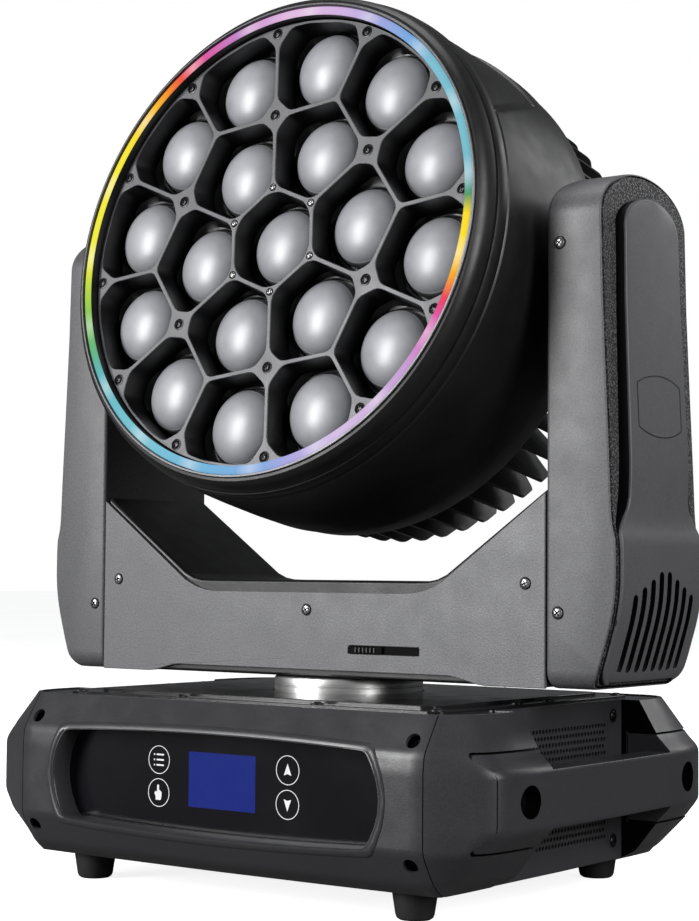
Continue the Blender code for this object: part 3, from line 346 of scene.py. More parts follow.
def turned(name, profile, mats, segs=128, closed=True, marks=None, angle=32.0):
    """A profile of (radius, height) points turned about Z."""
    bm = bmesh.new()
    columns = []
    for r, z in profile:
        if r < 1e-7:
            columns.append([bm.verts.new((0, 0, z))] * segs)
        else:
            columns.append([bm.verts.new((x, y, z)) for x, y in circle(r, segs)])
    for k in range(len(profile) if closed else len(profile) - 1):
        a, b = columns[k], columns[(k + 1) % len(columns)]
        for i in range(segs):
            j = (i + 1) % segs
            corners = list(dict.fromkeys((a[i], a[j], b[j], b[i])))
            if len(corners) > 2:
                face = bm.faces.new(corners)
                face.material_index = marks[k] if marks else 0
    return bare(name, bm, mats if isinstance(mats, (list, tuple)) else [mats], angle)


def slab_bmesh(outlines, low, high, matrix):
    """A plate between two heights from an outline and its holes."""
    curve = bpy.data.curves.new("outline", "CURVE")
    curve.dimensions = "2D"
    curve.fill_mode = "BOTH"
    curve.extrude = (high - low) / 2
    for outline in outlines:
        spline = curve.splines.new("POLY")
        spline.points.add(len(outline) - 1)
        for point, (u, v) in zip(spline.points, outline):
            point.co = (u, v, 0.0, 1.0)
        spline.use_cyclic_u = True
    source = linked("outline", curve)
    mesh = bpy.data.meshes.new_from_object(source.evaluated_get(bpy.context.evaluated_depsgraph_get()))
    bm = bmesh.new()
    bm.from_mesh(mesh)
    bpy.data.meshes.remove(mesh)
    bpy.data.objects.remove(source, do_unlink=True)
    bpy.data.curves.remove(curve)
    bmesh.ops.remove_doubles(bm, verts=bm.verts, dist=0.000005)
    bmesh.ops.transform(bm, matrix=matrix @ Matrix.Translation((0, 0, (low + high) / 2)), verts=bm.verts)
    return bm


def slab(name, outlines, low, high, matrix, mat, bevel=0.0, segments=2):
    """A plate with its edges rounded, as an object of its own."""
    obj = bare(name, slab_bmesh(outlines, low, high, matrix), [mat])
    return soften(obj, bevel, segments) if bevel else obj


def brick(name, low, high, mat=None):
    """A box between two corners."""
    low, high = Vector(low), Vector(high)
    bm = bmesh.new()
    bmesh.ops.create_cube(bm, size=1.0)
    bmesh.ops.scale(bm, vec=high - low, verts=bm.verts)
    bmesh.ops.translate(bm, vec=(low + high) / 2, verts=bm.verts)
    return bare(name, bm, [mat] if mat else [])


def barrel_cutter(name, radius, start, end, sides=32, mat=None):
    """A cylinder from one point to another."""
    start, end = Vector(start), Vector(end)
    bm = bmesh.new()
    bmesh.ops.create_cone(
        bm, cap_ends=True, segments=sides, radius1=radius, radius2=radius, depth=(end - start).length
    )
    turn = (end - start).to_track_quat("Z", "Y").to_matrix().to_4x4()
    bmesh.ops.transform(bm, matrix=Matrix.Translation((start + end) / 2) @ turn, verts=bm.verts)
    return bare(name, bm, [mat] if mat else [])


def carve(obj, operation, *others):
    """Cuts, keeps or joins other solids for good, then cleans flat faces."""
    for other in others:
        step = obj.modifiers.new("step", "BOOLEAN")
        step.operation = operation
        step.solver = "EXACT"
        step.object = other
        step.material_mode = "TRANSFER"
    mesh = bpy.data.meshes.new_from_object(obj.evaluated_get(bpy.context.evaluated_depsgraph_get()))
    obj.modifiers.clear()
    old, obj.data = obj.data, mesh
    bpy.data.meshes.remove(old)
    for other in others:
        bpy.data.objects.remove(other, do_unlink=True)
    bm = bmesh.new()
    bm.from_mesh(mesh)
    bmesh.ops.remove_doubles(bm, verts=bm.verts, dist=0.00001)
    bmesh.ops.dissolve_degenerate(bm, dist=0.00001, edges=bm.edges)
    bmesh.ops.dissolve_limit(
        bm, angle_limit=math.radians(0.03), verts=bm.verts, edges=bm.edges, delimit={"MATERIAL"}
    )
    bm.to_mesh(mesh)
    bm.free()
    return obj


def cut(obj, *others):
    return carve(obj, "DIFFERENCE", *others)


def keep(obj, *others):
    return carve(obj, "INTERSECT", *others)


def soften(obj, width, segments=2):
    """Rounds the edges sharper than 24 degrees."""
    rounding = obj.modifiers.new("rounding", "BEVEL")
    rounding.width = width
    rounding.segments = segments
    rounding.limit_method = "ANGLE"
    rounding.angle_limit = math.radians(24)
    obj.data.shade_smooth()
    weighted = obj.modifiers.new("weighted", "WEIGHTED_NORMAL")
    weighted.keep_sharp = True
    weighted.weight = 80
    return obj


def merge(name, objects):
    """Several objects as one, with their modifiers applied."""
    bpy.context.view_layer.update()
    graph = bpy.context.evaluated_depsgraph_get()
    mats, bm = [], bmesh.new()
    for obj in objects:
        mesh = bpy.data.meshes.new_from_object(obj.evaluated_get(graph))
        mesh.transform(obj.matrix_world)
        start = len(bm.faces)
        bm.from_mesh(mesh)
        bm.faces.ensure_lookup_table()
        own = list(mesh.materials)
        for mat in own:
            if mat not in mats:
                mats.append(mat)
        for face in bm.faces[start:]:
            face.material_index = mats.index(own[min(face.material_index, len(own) - 1)])
        bpy.data.meshes.remove(mesh)
    for obj in objects:
        bpy.data.objects.remove(obj, do_unlink=True)
    mesh = bpy.data.meshes.new(name)
    bm.to_mesh(mesh)
    bm.free()
    for mat in mats:
        mesh.materials.append(mat)
    return linked(name, mesh)


def circle(radius, sides, centre=(0.0, 0.0), start=0.0):
    turns = [start + 2 * math.pi * i / sides for i in range(sides)]
    return [(centre[0] + radius * math.cos(t), centre[1] + radius * math.sin(t)) for t in turns]


def rounded(points, radii, steps=4):
    """A closed outline with its corners rounded; the same number of points for every corner."""
    out = []
    count = len(points)
    if not isinstance(radii, (list, tuple)):
        radii = [radii] * count
    for i in range(count):
        here = Vector(points[i])
        back, ahead = Vector(points[i - 1]) - here, Vector(points[(i + 1) % count]) - here
        reach = min(radii[i], back.length * 0.45, ahead.length * 0.45)
        if reach <= 0:
            out.append(tuple(here))
            continue
        a, b = here + back.normalized() * reach, here + ahead.normalized() * reach
        for k in range(steps + 1):
            t = k / steps
            p = a * (1 - t) ** 2 + here * 2 * t * (1 - t) + b * t * t
            out.append((p.x, p.y))
    return out


def oblong(low, high, radius=0.0, steps=2):
    """A rectangle between two corners, with its corners rounded."""
    return rounded([low, (high[0], low[1]), high, (low[0], high[1])], radius, steps)


def about(half_u, half_v, radius=0.0, steps=2):
    """A rounded rectangle round the origin."""
    return oblong((-half_u, -half_v), (half_u, half_v), radius, steps)


def stadium(centre, half_width, low, high):
    """A slot with round ends, upright."""
    out = []
    for start, middle in ((0, high - half_width), (math.pi, low + half_width)):
        for i in range(9):
            t = start + math.pi * i / 8
            out.append((centre + half_width * math.cos(t), middle + half_width * math.sin(t)))
    return out


def smooth(value, low, high):
    """An eased step from 0 to 1 between two values."""
    t = min(1.0, max(0.0, (value - low) / (high - low)))
    return t * t * (3 - 2 * t)


def along(table, value):
    """A value read off a table of (key, value) pairs, keys rising."""
    if value <= table[0][0]:
        return table[0][1]
    for (a, va), (b, vb) in zip(table, table[1:]):
        if value <= b:
            return va + (vb - va) * (value - a) / (b - a)
    return table[-1][1]


def phillips(radius, mat, dome=0.42):
    """A cross-recessed pan head: its face towards +Z, its seat at z 0."""
    height = radius * dome
    head = turned("screw", (
        (0.0, height), (radius * 0.45, height * 0.97), (radius * 0.80, height * 0.78), (radius * 0.97, height * 0.40),
        (radius, 0.0), (radius, -height * 0.8), (0.0, -height * 0.8),
    ), mat, segs=28, closed=False)
    # The cross recess's walls take the cutters' near black: painted shade in the recess.
    return cut(head, *(
        brick("arm", (-u * radius, -v * radius, -height * 0.3), (u * radius, v * radius, height * 2), DEEP_BLACK_AND_SHADE)
        for u, v in ((0.15, 0.66), (0.66, 0.15))
    ))


def screws(name, places, radius, mat, body, matrix=None, seat=None, dome=0.42):
    """One piece with a screw head at every (point, direction, spin); with a seat size, each sits in a dark ring of
    painted shade.
    """
    copies = []
    source = phillips(radius, mat, dome)
    for point, direction, spin in places:
        frame_of = Matrix.Translation(point) @ Vector(direction).to_track_quat("Z", "Y").to_matrix().to_4x4()
        copy = linked("copy", source.data)
        copy.matrix_world = frame_of @ Matrix.Rotation(spin, 4, "Z")
        copies.append(copy)
        if seat:
            # A near-black ring round the head: painted shade in the hole round the screw.
            rim = turned("rim", (
                (radius * 1.02, -0.0004), (radius * 1.02, 0.00025), (radius * 1.10, 0.0005), (radius * seat, 0.0003),
                (radius * seat * 1.02, -0.0004),
            ), DEEP_BLACK_AND_SHADE, segs=28)
            rim.matrix_world = frame_of
            copies.append(rim)
    made = sharpen(merge(name, copies), 35)
    bpy.data.objects.remove(source, do_unlink=True)
    return piece(made, body, matrix=matrix)

# ---------------------------------------------------------------- base housing

# (height, front at centre, front at seam, corner x, corner y, side at handle end, side at centre)
LEVELS = (
    (0.1320, 0.1430, 0.1420, 0.1880, 0.1280, 0.1950, 0.1960),
    (0.1080, 0.1610, 0.1570, 0.2040, 0.1390, 0.2095, 0.2105),
    (0.0970, 0.1625, 0.1580, 0.2150, 0.1370, 0.2210, 0.2230),
    (0.0600, 0.1625, 0.1580, 0.2150, 0.1370, 0.2210, 0.2230),
    (0.0470, 0.1625, 0.1580, 0.2040, 0.1390, 0.2080, 0.2090),
    (0.0260, 0.1510, 0.1465, 0.1840, 0.1290, 0.1910, 0.1920),
    (0.0190, 0.1410, 0.1370, 0.1742, 0.1290, 0.1750, 0.1755),
)
WALL = 0.003
SEAM_X = 0.1735
BACK_Y = 0.1305
RECESS_HALF = 0.079
RECESS_X = 0.181
FAR = 0.300                     # past everything: how far cutters reach
POCKETS = ((0.1525, 0.1165, 0.62), (0.1545, 0.0390, -0.50))   # (y, z, lean) of a cover's screw pockets
POCKET_X = 0.1628
SIDES = ((1, "right"), (-1, "left"))


def plan(level, inset):
    """The plan outline at one level, its corners generously rounded."""
    front, seam_front, corner_x, corner_y, side_end, side = level
    d = inset * math.sqrt(0.5)
    quarter = (
        (0.0, front - inset, 0.0), (0.095, front - 0.3 * (front - seam_front) - inset, 0.02),
        (min(SEAM_X, corner_x - d - 0.001), seam_front - inset, 0.010),
        (corner_x - d, corner_y - d, 0.014), (side_end - inset, 0.107, 0.010), (side - inset, 0.0, 0.0),
    )
    ring = [(x, -y, r) for x, y, r in quarter]
    ring += [(x, y, r) for x, y, r in reversed(quarter[:-1])]
    ring += [(-x, y, r) for x, y, r in quarter[1:]]
    ring += [(-x, -y, r) for x, y, r in reversed(quarter[1:-1])]
    return rounded([(x, y) for x, y, _ in ring], [r for _, _, r in ring], 6)


def sections():
    """Heights and plan sizes from top to bottom, with every crease eased."""
    out = [LEVELS[0]]
    for above, here, below in zip(LEVELS, LEVELS[1:], LEVELS[2:]):
        up, down = above[0] - here[0], here[0] - below[0]
        a_share, b_share = min(0.0032 / up, 0.42), min(0.0032 / down, 0.42)
        a = [h + (v - h) * a_share for h, v in zip(here, above)]
        b = [h + (v - h) * b_share for h, v in zip(here, below)]
        out += [
            [p * (1 - t) ** 2 + h * 2 * t * (1 - t) + q * t * t for p, h, q in zip(a, here, b)]
            for t in (0.0, 0.33, 0.67, 1.0)
        ]
    return out + [LEVELS[-1]]


def form(name, inset=0.0, reach=0.0, mat=None):
    """The base's outer shape as a solid, set in and reaching past its top and bottom as asked."""
    levels = [(level[0], level[1:]) for level in sections()]
    if reach:
        (top, above), (bottom, below) = levels[0], levels[-1]
        levels = [(top + reach, above)] + levels + [(bottom - reach, below)]
    rows = [[(x, y, height) for x, y in plan(sizes, inset)] for height, sizes in levels]
    bm, made = grid(rows, close_u=True)
    bm.faces.new(made[0])
    bm.faces.new(list(reversed(made[-1])))
    bmesh.ops.triangulate(bm, faces=bm.faces)
    return bare(name, bm, [mat] if mat else [])


WINDOW_MID, WINDOW_END, WINDOW_Z = 0.1395, 0.1285, (0.0445, 0.1110)
GLASS_Y = 0.1422


def barrel(inset):
    """The window: a wide barrel with bowed ends, its top and bottom bowed less."""
    low, high = WINDOW_Z[0] + inset, WINDOW_Z[1] - inset
    middle, half = (low + high) / 2, (high - low) / 2
    end = WINDOW_END + 0.002 - inset
    side = [(end + (WINDOW_MID - WINDOW_END) * (1 - v * v), middle + v * half * 0.92)
            for v in [i / 4 for i in range(-4, 5)]]
    top = [(-u * end, middle + half * (1.02 - 0.10 * u * u)) for u in [i / 14 for i in range(-13, 14)]]
    turned_round = [(-x, 2 * middle - z) for x, z in side + top]
    return rounded(side + top + turned_round, ([0.006] + [0] * 7 + [0.006] + [0] * 27) * 2, 6)


def pocket_places(side):
    """Centre and direction of a cover's four screw pockets."""
    return [
        (Vector((x, side * y, z)), Vector((0, side * math.cos(lean), math.sin(lean))))
        for x in (-POCKET_X, POCKET_X) for y, z, lean in POCKETS
    ]


def through(name, outline, side, start):
    """A cutter in the window's outline, from a depth outwards."""
    low, high = spread(-side, start, FAR)
    return slab(name, [outline], low, high, XZ, MOULD)


def end_cover(name, side):
    """The front or rear cover with its deep barrel-shaped window and screw pockets."""
    cover = form(name, mat=MOULD)
    ys = spread(side, FAR, BACK_Y)
    keep(cover, brick("region", (-SEAM_X + 0.0004, ys[0], -0.01), (SEAM_X - 0.0004, ys[1], 0.2)))
    hollow = form("hollow", WALL, 0.010)
    cut(hollow, through("frame", barrel(-0.004), side, GLASS_Y - 0.003))
    mouth = through("mouth", barrel(0.0), side, GLASS_Y - (0.012 if side < 0 else 0.0))
    return cut(cover, hollow, mouth, *(
        barrel_cutter("pocket", 0.0052, centre - direction * 0.0075, centre + direction * 0.02)
        for centre, direction in pocket_places(side)
    ))


def face_y(x, z):
    """The front's distance from the middle at a place on it."""
    front, seam = [along(sorted((level[0], level[column]) for level in LEVELS), z) for column in (1, 2)]
    return along(((0.0, front), (0.095, front - 0.3 * (front - seam)), (SEAM_X, seam)), abs(x))


def window_rim():
    """A raised, rolled lip round the display window, running in to the glass."""
    rows = []
    for inset, lift in (
        (-0.0052, -0.0012), (-0.0050, 0.0004), (-0.0044, 0.0009), (-0.0022, 0.0008), (-0.0008, 0.0001),
        (0.0000, -0.0010), (0.0003, -0.0022), (0.0005, -0.0120), (-0.0030, -0.0120),
    ):
        rows.append([(x, -max(GLASS_Y + 0.0002, face_y(x, z) + lift), z) for x, z in barrel(inset)])
    return bare("display_rim", grid(rows, close_u=True, close_v=True)[0], [MOULD], 40)


piece(window_rim(), "base")
piece(soften(end_cover("front_cover_shell", -1), 0.0011, 3), "base", ["front_cover"])
rear = end_cover("rear_cover_shell", 1)
SOCKETS = {node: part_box(node) for node in ("power_inlet", "data_in", "data_out")}
cut(rear, *(
    brick("opening", (low.x + 0.0035, GLASS_Y - 0.01, low.z + 0.0035), (high.x - 0.0035, 0.2, high.z - 0.0035))
    for low, high in SOCKETS.values()
))
piece(soften(rear, 0.0011, 3), "base", ["rear_cover"])
screws("cover_pocket_screws", [
    (centre - direction * 0.0072, direction, 0.4) for side in (-1, 1) for centre, direction in pocket_places(side)
], 0.0040, DARK_SCREW, "base", seat=1.26)

# display window: gloss panel, lit screen, printed touch marks
glass = slab("display_panel", [barrel(-0.002)], GLASS_Y - 0.002, GLASS_Y, XZ, PANEL, 0.0003)
piece(glass, "base", ["display_glass"])
SCREEN_HALF, SCREEN_Z = 0.0291, (0.0606, 0.0978)


def mark(name, outlines, mat):
    """A thin print on the panel's face."""
    return slab(name, outlines, GLASS_Y - 0.0002, GLASS_Y + 0.00012, XZ, mat)


screen = mark("display_screen", [oblong((-SCREEN_HALF, SCREEN_Z[0]), (SCREEN_HALF, SCREEN_Z[1]), 0.0006)], SCREEN)
piece(screen, "base")


def touch_mark(word, x, z, glyph):
    """A thin ring round a small sign, printed on the panel."""
    parts = [mark("ring", [circle(0.0097, 48, (x, z)), circle(0.0092, 48, (x, z))], PRINT)]
    for outline in glyph:
        parts.append(mark("sign", [[(x + u * 0.001, z + v * 0.001) for u, v in outline]], PRINT))
    piece(merge("touch_" + word, parts), "base")


# signs in millimetres round their centres
ARROW = [(-3.1, -3.4), (0.0, -2.5), (3.1, -3.4), (0.0, 4.4)]
FINGER = rounded([
    (-2.9, -5.0), (2.0, -5.0), (2.6, -2.0), (2.6, 0.6), (0.9, 1.6), (0.3, 1.9), (0.2, 5.4), (-1.4, 5.4),
    (-1.6, 0.4), (-2.9, 1.0), (-3.9, -0.3), (-2.6, -3.0),
], 0.7, 3)
LINES = [oblong((-2.2, z - 0.55), (4.4, z + 0.55)) for z in (-3.6, 0.0, 3.6)]
LINES += [circle(0.62, 12, (-4.2, z)) for z in (-3.6, 0.0, 3.6)]
MARK_X, MARK_UP, MARK_DOWN = 0.0563, 0.0905, 0.0681
touch_mark("menu", -MARK_X, MARK_UP, LINES)
touch_mark("enter", -MARK_X, MARK_DOWN, [FINGER])
touch_mark("up", MARK_X, MARK_UP, [ARROW])
touch_mark("down", MARK_X, MARK_DOWN, [[(u, -v) for u, v in reversed(ARROW)]])

LUG_HALF, LUG_Z, LUG_X = 0.1335, (0.048, 0.109), 0.186
GRIP_Z, GRIP_THICK = (0.060, 0.097), 0.022


def lug_outline(end, grow):
    """A handle lug in (y, z): wings above and below a set-back front edge."""
    z0, z1, back, wing = LUG_Z[0] - grow, LUG_Z[1] + grow, LUG_HALF + grow, 0.1415 + grow
    points = [
        (RECESS_HALF - 0.001, z0), (wing - 0.002, z0), (wing, z0 + 0.003), (back, z0 + 0.0125),
        (back, z1 - 0.0125), (wing, z1 - 0.003), (wing - 0.002, z1), (RECESS_HALF - 0.001, z1),
    ]
    return rounded([(end * y, z) for y, z in points], [0, 0.001, 0.002, 0.004, 0.004, 0.002, 0.001, 0], 4)


def side_cover(word, side):
    """A side cover: two corners with notches for the handle's lugs, joined behind the finger recess."""
    cover = form(word + "_side_shell", mat=MOULD)
    seam, back, wall_end = SEAM_X + 0.0004, RECESS_X - WALL, RECESS_HALF + WALL
    cutters = []
    for near, far, half, low, high, mat in (
        (-FAR, seam, FAR, -0.01, 0.2, None), (seam - 0.01, back, wall_end, -0.01, 0.2, None),
        (back - 0.01, RECESS_X + 0.01, 0.0600, 0.0345, 0.1185, None),
        (RECESS_X, FAR, RECESS_HALF - 0.0002, -0.01, 0.2, MOULD),
    ):
        xs = spread(side, near, far)
        cutters.append(brick("space", (xs[0], -half, low), (xs[1], half, high), mat))
    # Matt black cutters for the handle recess's end walls: painted shadow at the recess's ends.
    for end in (-1, 1):
        xs, ys = spread(side, RECESS_X, FAR), spread(end, RECESS_HALF - 0.0004, RECESS_HALF)
        cutters.append(brick("recess_end", (xs[0], ys[0], -0.01), (xs[1], ys[1], 0.2), MATT_BLACK_AND_SHADOW))
    for end in (-1, 1):
        hollow, ys = form("hollow", WALL, 0.010), spread(end, wall_end, FAR)
        keep(hollow, brick("corner", (-FAR, ys[0], -0.05), (FAR, ys[1], 0.25)))
        notch = slab("notch", [lug_outline(end, 0.0011)], *spread(side, LUG_X - 0.001, FAR), YZ, MOULD)
        cutters += [hollow, notch]
    cut(cover, *cutters)
    piece(soften(cover, 0.0008, 3), "base", [word + "_side_cover"])
    # A matt black sheet behind each lug's notch: painted shadow in the gap round the lug.
    for end, place in ((-1, "front"), (1, "rear")):
        seat = form(word + "_" + place + "_lug_gap_shade", WALL + 0.0004, mat=MATT_BLACK_AND_SHADOW)
        xs, ys = spread(side, LUG_X - 0.0032, LUG_X - 0.0012), spread(end, RECESS_HALF + 0.0003, 0.147)
        keep(seat, brick("seat", (xs[0], ys[0], LUG_Z[0] - 0.006), (xs[1], ys[1], LUG_Z[1] + 0.006), MATT_BLACK_AND_SHADOW))
        piece(seat, "base")
    holes = [
        circle(0.00155, 10, (-0.0554 + 0.0041 * column + 0.00205 * (row % 2), 0.0385 + 0.0048 * row))
        for row in range(17) for column in range(28 - row % 2)
    ]
    field = oblong((-0.0605, 0.0340), (0.0605, 0.1190))
    grille = slab(word + "_grille", [field] + holes, *spread(side, RECESS_X - 0.0012, RECESS_X - 0.0002), YZ, MOULD)
    piece(grille, "base")
    # A near-black sheet behind the grille: painted shade seen through its holes.
    behind = oblong((-0.064, 0.030), (0.064, 0.123), 0.003, 4)
    shade_sheet = slab(word + "_grille_shade_sheet", [behind], *spread(side, back - 0.0008, back - 0.0020), YZ, DEEP_BLACK_AND_SHADE, 0.0003)
    piece(shade_sheet, "base")
    spots = [(y, z) for y in (0.067, -0.067) for z in (0.1213, 0.0344)]
    screws(word + "_grille_screws", [
        ((side * (RECESS_X - 0.0001), y, z), (side, 0, 0), 0.3 * i) for i, (y, z) in enumerate(spots)
    ], 0.0033, DARK_SCREW, "base", seat=1.5)


BOLT_Y, BOLT_Z = 0.105, 0.0785


def handle(word, side):
    """A carrying handle: a slightly bowed grip between two lugs, held by two deep-set bolts."""
    grip = form(word + "_handle_bar", 0.0009, mat=MOULD)
    face_x = LEVELS[2][6]
    outline = [p for p in lug_outline(1, -0.0004) if p[0] > RECESS_HALF]
    outline += [p for p in reversed(lug_outline(-1, -0.0004)) if p[0] < -RECESS_HALF]
    keep(grip, slab("blank", [outline], *spread(side, LUG_X, FAR), YZ, MOULD))
    cutters = []
    for near, far, low, high in (
        (LUG_X - 0.01, face_x - GRIP_THICK, 0.0, 0.2), (LUG_X - 0.02, FAR, GRIP_Z[1], 0.2),
        (LUG_X - 0.02, FAR, 0.0, GRIP_Z[0]),
    ):
        xs = spread(side, near, far)
        cutters.append(brick("fingers", (xs[0], -RECESS_HALF, low), (xs[1], RECESS_HALF, high)))
    # The bolt holes are cut with a matt black cutter: painted shadow on their walls.
    for y in (-BOLT_Y, BOLT_Y):
        start, end = [(side * x, y, BOLT_Z) for x in (face_x - 0.014, FAR)]
        cutters.append(barrel_cutter("bolt", 0.0105, start, end, 48, MATT_BLACK_AND_SHADOW))
    cut(grip, *cutters)
    piece(soften(grip, 0.0009, 3), "base", [word + "_handle"])
    places = [((side * (face_x - 0.0138), y, BOLT_Z), (side, 0, 0), 0.5) for y in (-BOLT_Y, BOLT_Y)]
    screws(word + "_handle_bolts", places, 0.0070, DARK_SCREW, "base")


for side, word in SIDES:
    side_cover(word, side)
    handle(word, side)

# top plate: folded sheet with a raised panel, gutter lines and screws
plate_low, plate_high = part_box("base_top_plate")
hub_low, hub_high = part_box("pan_hub")
hub_r = (hub_high.x - hub_low.x) / 2


def top_outline():
    """The top sheet's plan: it fits inside the covers' walls and steps in round the handles' recesses."""
    fit = WALL + 0.0005
    wall_x, wall_y = RECESS_X - fit, RECESS_HALF + fit
    points = []
    for x, y in plan(LEVELS[0][1:], fit):
        if abs(y) > wall_y or abs(x) < wall_x:
            points.append((x, y))
        elif abs(y) < 1e-6:
            edge = math.copysign(LEVELS[0][5] - fit, x)
            notch = math.copysign(wall_x, x)
            turn = math.copysign(wall_y, -x)
            points += [(edge, turn), (notch, turn), (notch, -turn), (edge, -turn)]
    return points


sheet = slab("base_top_sheet", [top_outline(), circle(hub_r + 0.0009, 96)],
             plate_low.z, plate_high.z - 0.0008, XY, GLOSS, 0.0006)
piece(sheet, "base", ["base_top_plate"])
for name, half_x, half_y, low, high in (
    ("base_top_step", 0.1640, 0.1235, -0.0010, 0.0006), ("base_top_panel", 0.1480, 0.1080, 0.0004, 0.0026),
):
    raised = slab(name, [about(half_x, half_y, 0.012, 6), circle(hub_r + 0.0012, 96)],
                  plate_high.z + low, plate_high.z + high, XY, GLOSS, 0.0007)
    piece(raised, "base")
spots = [(sx * x, sy * y) for x, y in ((0.156, 0.116), (0.156, 0.020), (0.060, 0.116))
         for sx in (-1, 1) for sy in (-1, 1)]
screws("base_top_screws", [((x, y, plate_high.z + 0.0007), (0, 0, 1), x * 40) for x, y in spots], 0.0034, DARK_SCREW,
       "base", seat=1.35)

# feet
for name in ("foot_front_left", "foot_front_right", "foot_rear_right", "foot_rear_left"):
    low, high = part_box(name)
    centre = (low + high) / 2
    top, r = high.z, (high.x - low.x) / 2
    shape = (
        (0.0, top), (r, top), (r, top - 0.0015), (r - 0.0024, 0.0030), (r - 0.0032, 0.0011), (r - 0.0048, 0.0),
        (r - 0.0075, 0.0), (r - 0.0082, 0.0016), (0.0045, 0.0016), (0.0040, 0.0060), (0.0, 0.0060),
    )
    foot = turned(name + "_pad", shape, RUBBER, segs=64, closed=False)
    piece(foot, "base", [name], Matrix.Translation((centre.x, centre.y, 0.0)))

# connectors at the rear
OUTWARDS = Matrix.Rotation(-math.pi / 2, 4, "X")


def socket(node, low, high):
    """A square flange round a well with its pins."""
    x, z = (low.x + high.x) / 2, (low.z + high.z) / 2
    half_x, half_z = (high.x - low.x) / 2, (high.z - low.z) / 2
    well_r = half_z - 0.0065
    rim = oblong((x - half_x, z - half_z), (x + half_x, z + half_z), 0.003, 5)
    parts = [slab("flange", [rim, circle(well_r, 48, (x, z))], -high.y, -(GLASS_Y + 0.0002), XZ, DEEP_BLACK_AND_SHADE, 0.0005)]
    sleeve = turned("sleeve", (
        (well_r + 0.0016, 0.0), (well_r + 0.0016, 0.020), (well_r - 0.0003, 0.0212), (well_r - 0.0003, 0.0015),
        (0.0, 0.0015), (0.0, 0.0),
    ), DEEP_BLACK_AND_SHADE, segs=48, closed=False)
    sleeve.matrix_world = Matrix.Translation((x, GLASS_Y - 0.0185, z)) @ OUTWARDS
    parts.append(sleeve)
    for px, pz in circle(well_r * 0.5, PINS[node], (x, z), math.pi / PINS[node] - math.pi / 2):
        pin = turned("pin", (
            (0.0, 0.0085), (0.0006, 0.0082), (0.0009, 0.0074), (0.0009, 0.0), (0.0, 0.0)
        ), STEEL, segs=16, closed=False)
        pin.matrix_world = Matrix.Translation((px, GLASS_Y - 0.0172, pz)) @ OUTWARDS
        parts.append(pin)
    piece(merge(node + "_socket", parts), "base", [node])
    screws(node + "_screws", [
        ((x + turn * (half_x - 0.0030), high.y, z - turn * (half_z - 0.0030)), (0, 1, 0), 0.3) for turn in (-1, 1)
    ], 0.0019, BRIGHT_SCREW, "base")


PINS = {"power_inlet": 3, "data_in": 5, "data_out": 5}
for node, (low, high) in SOCKETS.items():
    socket(node, low, high)

# ---------------------------------------------------------------- yoke

cover_low, cover_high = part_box("yoke_front_cover")
channel_low, channel_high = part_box("yoke_channel")
rear_low, rear_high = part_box("yoke_rear_cover")
YOKE_Y = tilt_axis.y
DEPTH = rear_high.y - cover_low.y
FLOOR = cover_low.z
SPAN = cover_high.x
BEND = (0.1152, 0.2142)
SHOULDER_Z = cover_high.z
slope = (SHOULDER_Z - BEND[1]) / (SPAN - BEND[0])


def both(half):
    return list(half) + [(-u, v) for u, v in reversed(half)]


# the yoke covers: a U above, a relieved straight edge below
U_OUTLINE = both([
    (0.083, 0.2058), (0.0905, 0.2062), (0.0965, 0.2071), (0.1030, 0.2087), (0.1090, 0.2111), BEND,
    (SPAN - 0.0003, SHOULDER_Z), (SPAN - 0.0003, FLOOR), (0.150, FLOOR), (0.144, FLOOR + 0.0006),
    (0.126, FLOOR + 0.0050), (0.120, FLOOR + 0.0056),
])
SLOT_X, SLOT_Z = (0.0370, 0.0970), (0.1633, 0.1691)


def in_slot(x0, x1, gap, radius):
    """An outline in the pan lock's slot, a gap inside its top and bottom."""
    return oblong((x0, SLOT_Z[0] + gap), (x1, SLOT_Z[1] - gap), radius)


front = slab("yoke_front_panel", [U_OUTLINE, in_slot(*SLOT_X, 0, 0.0008)],
             -cover_high.y, -cover_low.y, XZ, SHEET, 0.0008, 3)
piece(front, "yoke", ["yoke_front_cover"])
back = slab("yoke_rear_panel", [U_OUTLINE], -rear_high.y, -rear_low.y, XZ, SHEET, 0.0008, 3)
piece(back, "yoke", ["yoke_rear_cover"])
spots = ((0, 0.1934, 0.6), (0.1816, 0.2137, 0.4), (-0.1816, 0.2137, 0.2))
places = [((x, cover_low.y, z), (0, -1, 0), spin) for x, z, spin in spots]
places += [((x, rear_high.y, z), (0, 1, 0), 0.5) for x, z, _ in spots]
screws("yoke_cover_screws", places, 0.0036, BRIGHT_SCREW, "yoke", seat=1.18)


def channel_outline():
    """The cross member in (x, z), softened at its bends."""
    flat_z, bend_z, side = 0.2140, BEND[1] + 0.0034, SPAN - 0.0004
    meet_x = BEND[0] + (flat_z - bend_z) / slope
    return both([
        (meet_x - 0.020, flat_z), (meet_x - 0.010, flat_z + 0.0002), (meet_x - 0.002, flat_z + 0.0016),
        (meet_x + 0.006, flat_z + 0.0050), (side, bend_z + (side - BEND[0]) * slope), (side, FLOOR + 0.0006),
    ])


channel = slab("yoke_cross_member", [channel_outline()], -channel_high.y, -channel_low.y, XZ, BLACK, 0.0022, 4)
piece(channel, "yoke", ["yoke_channel"])

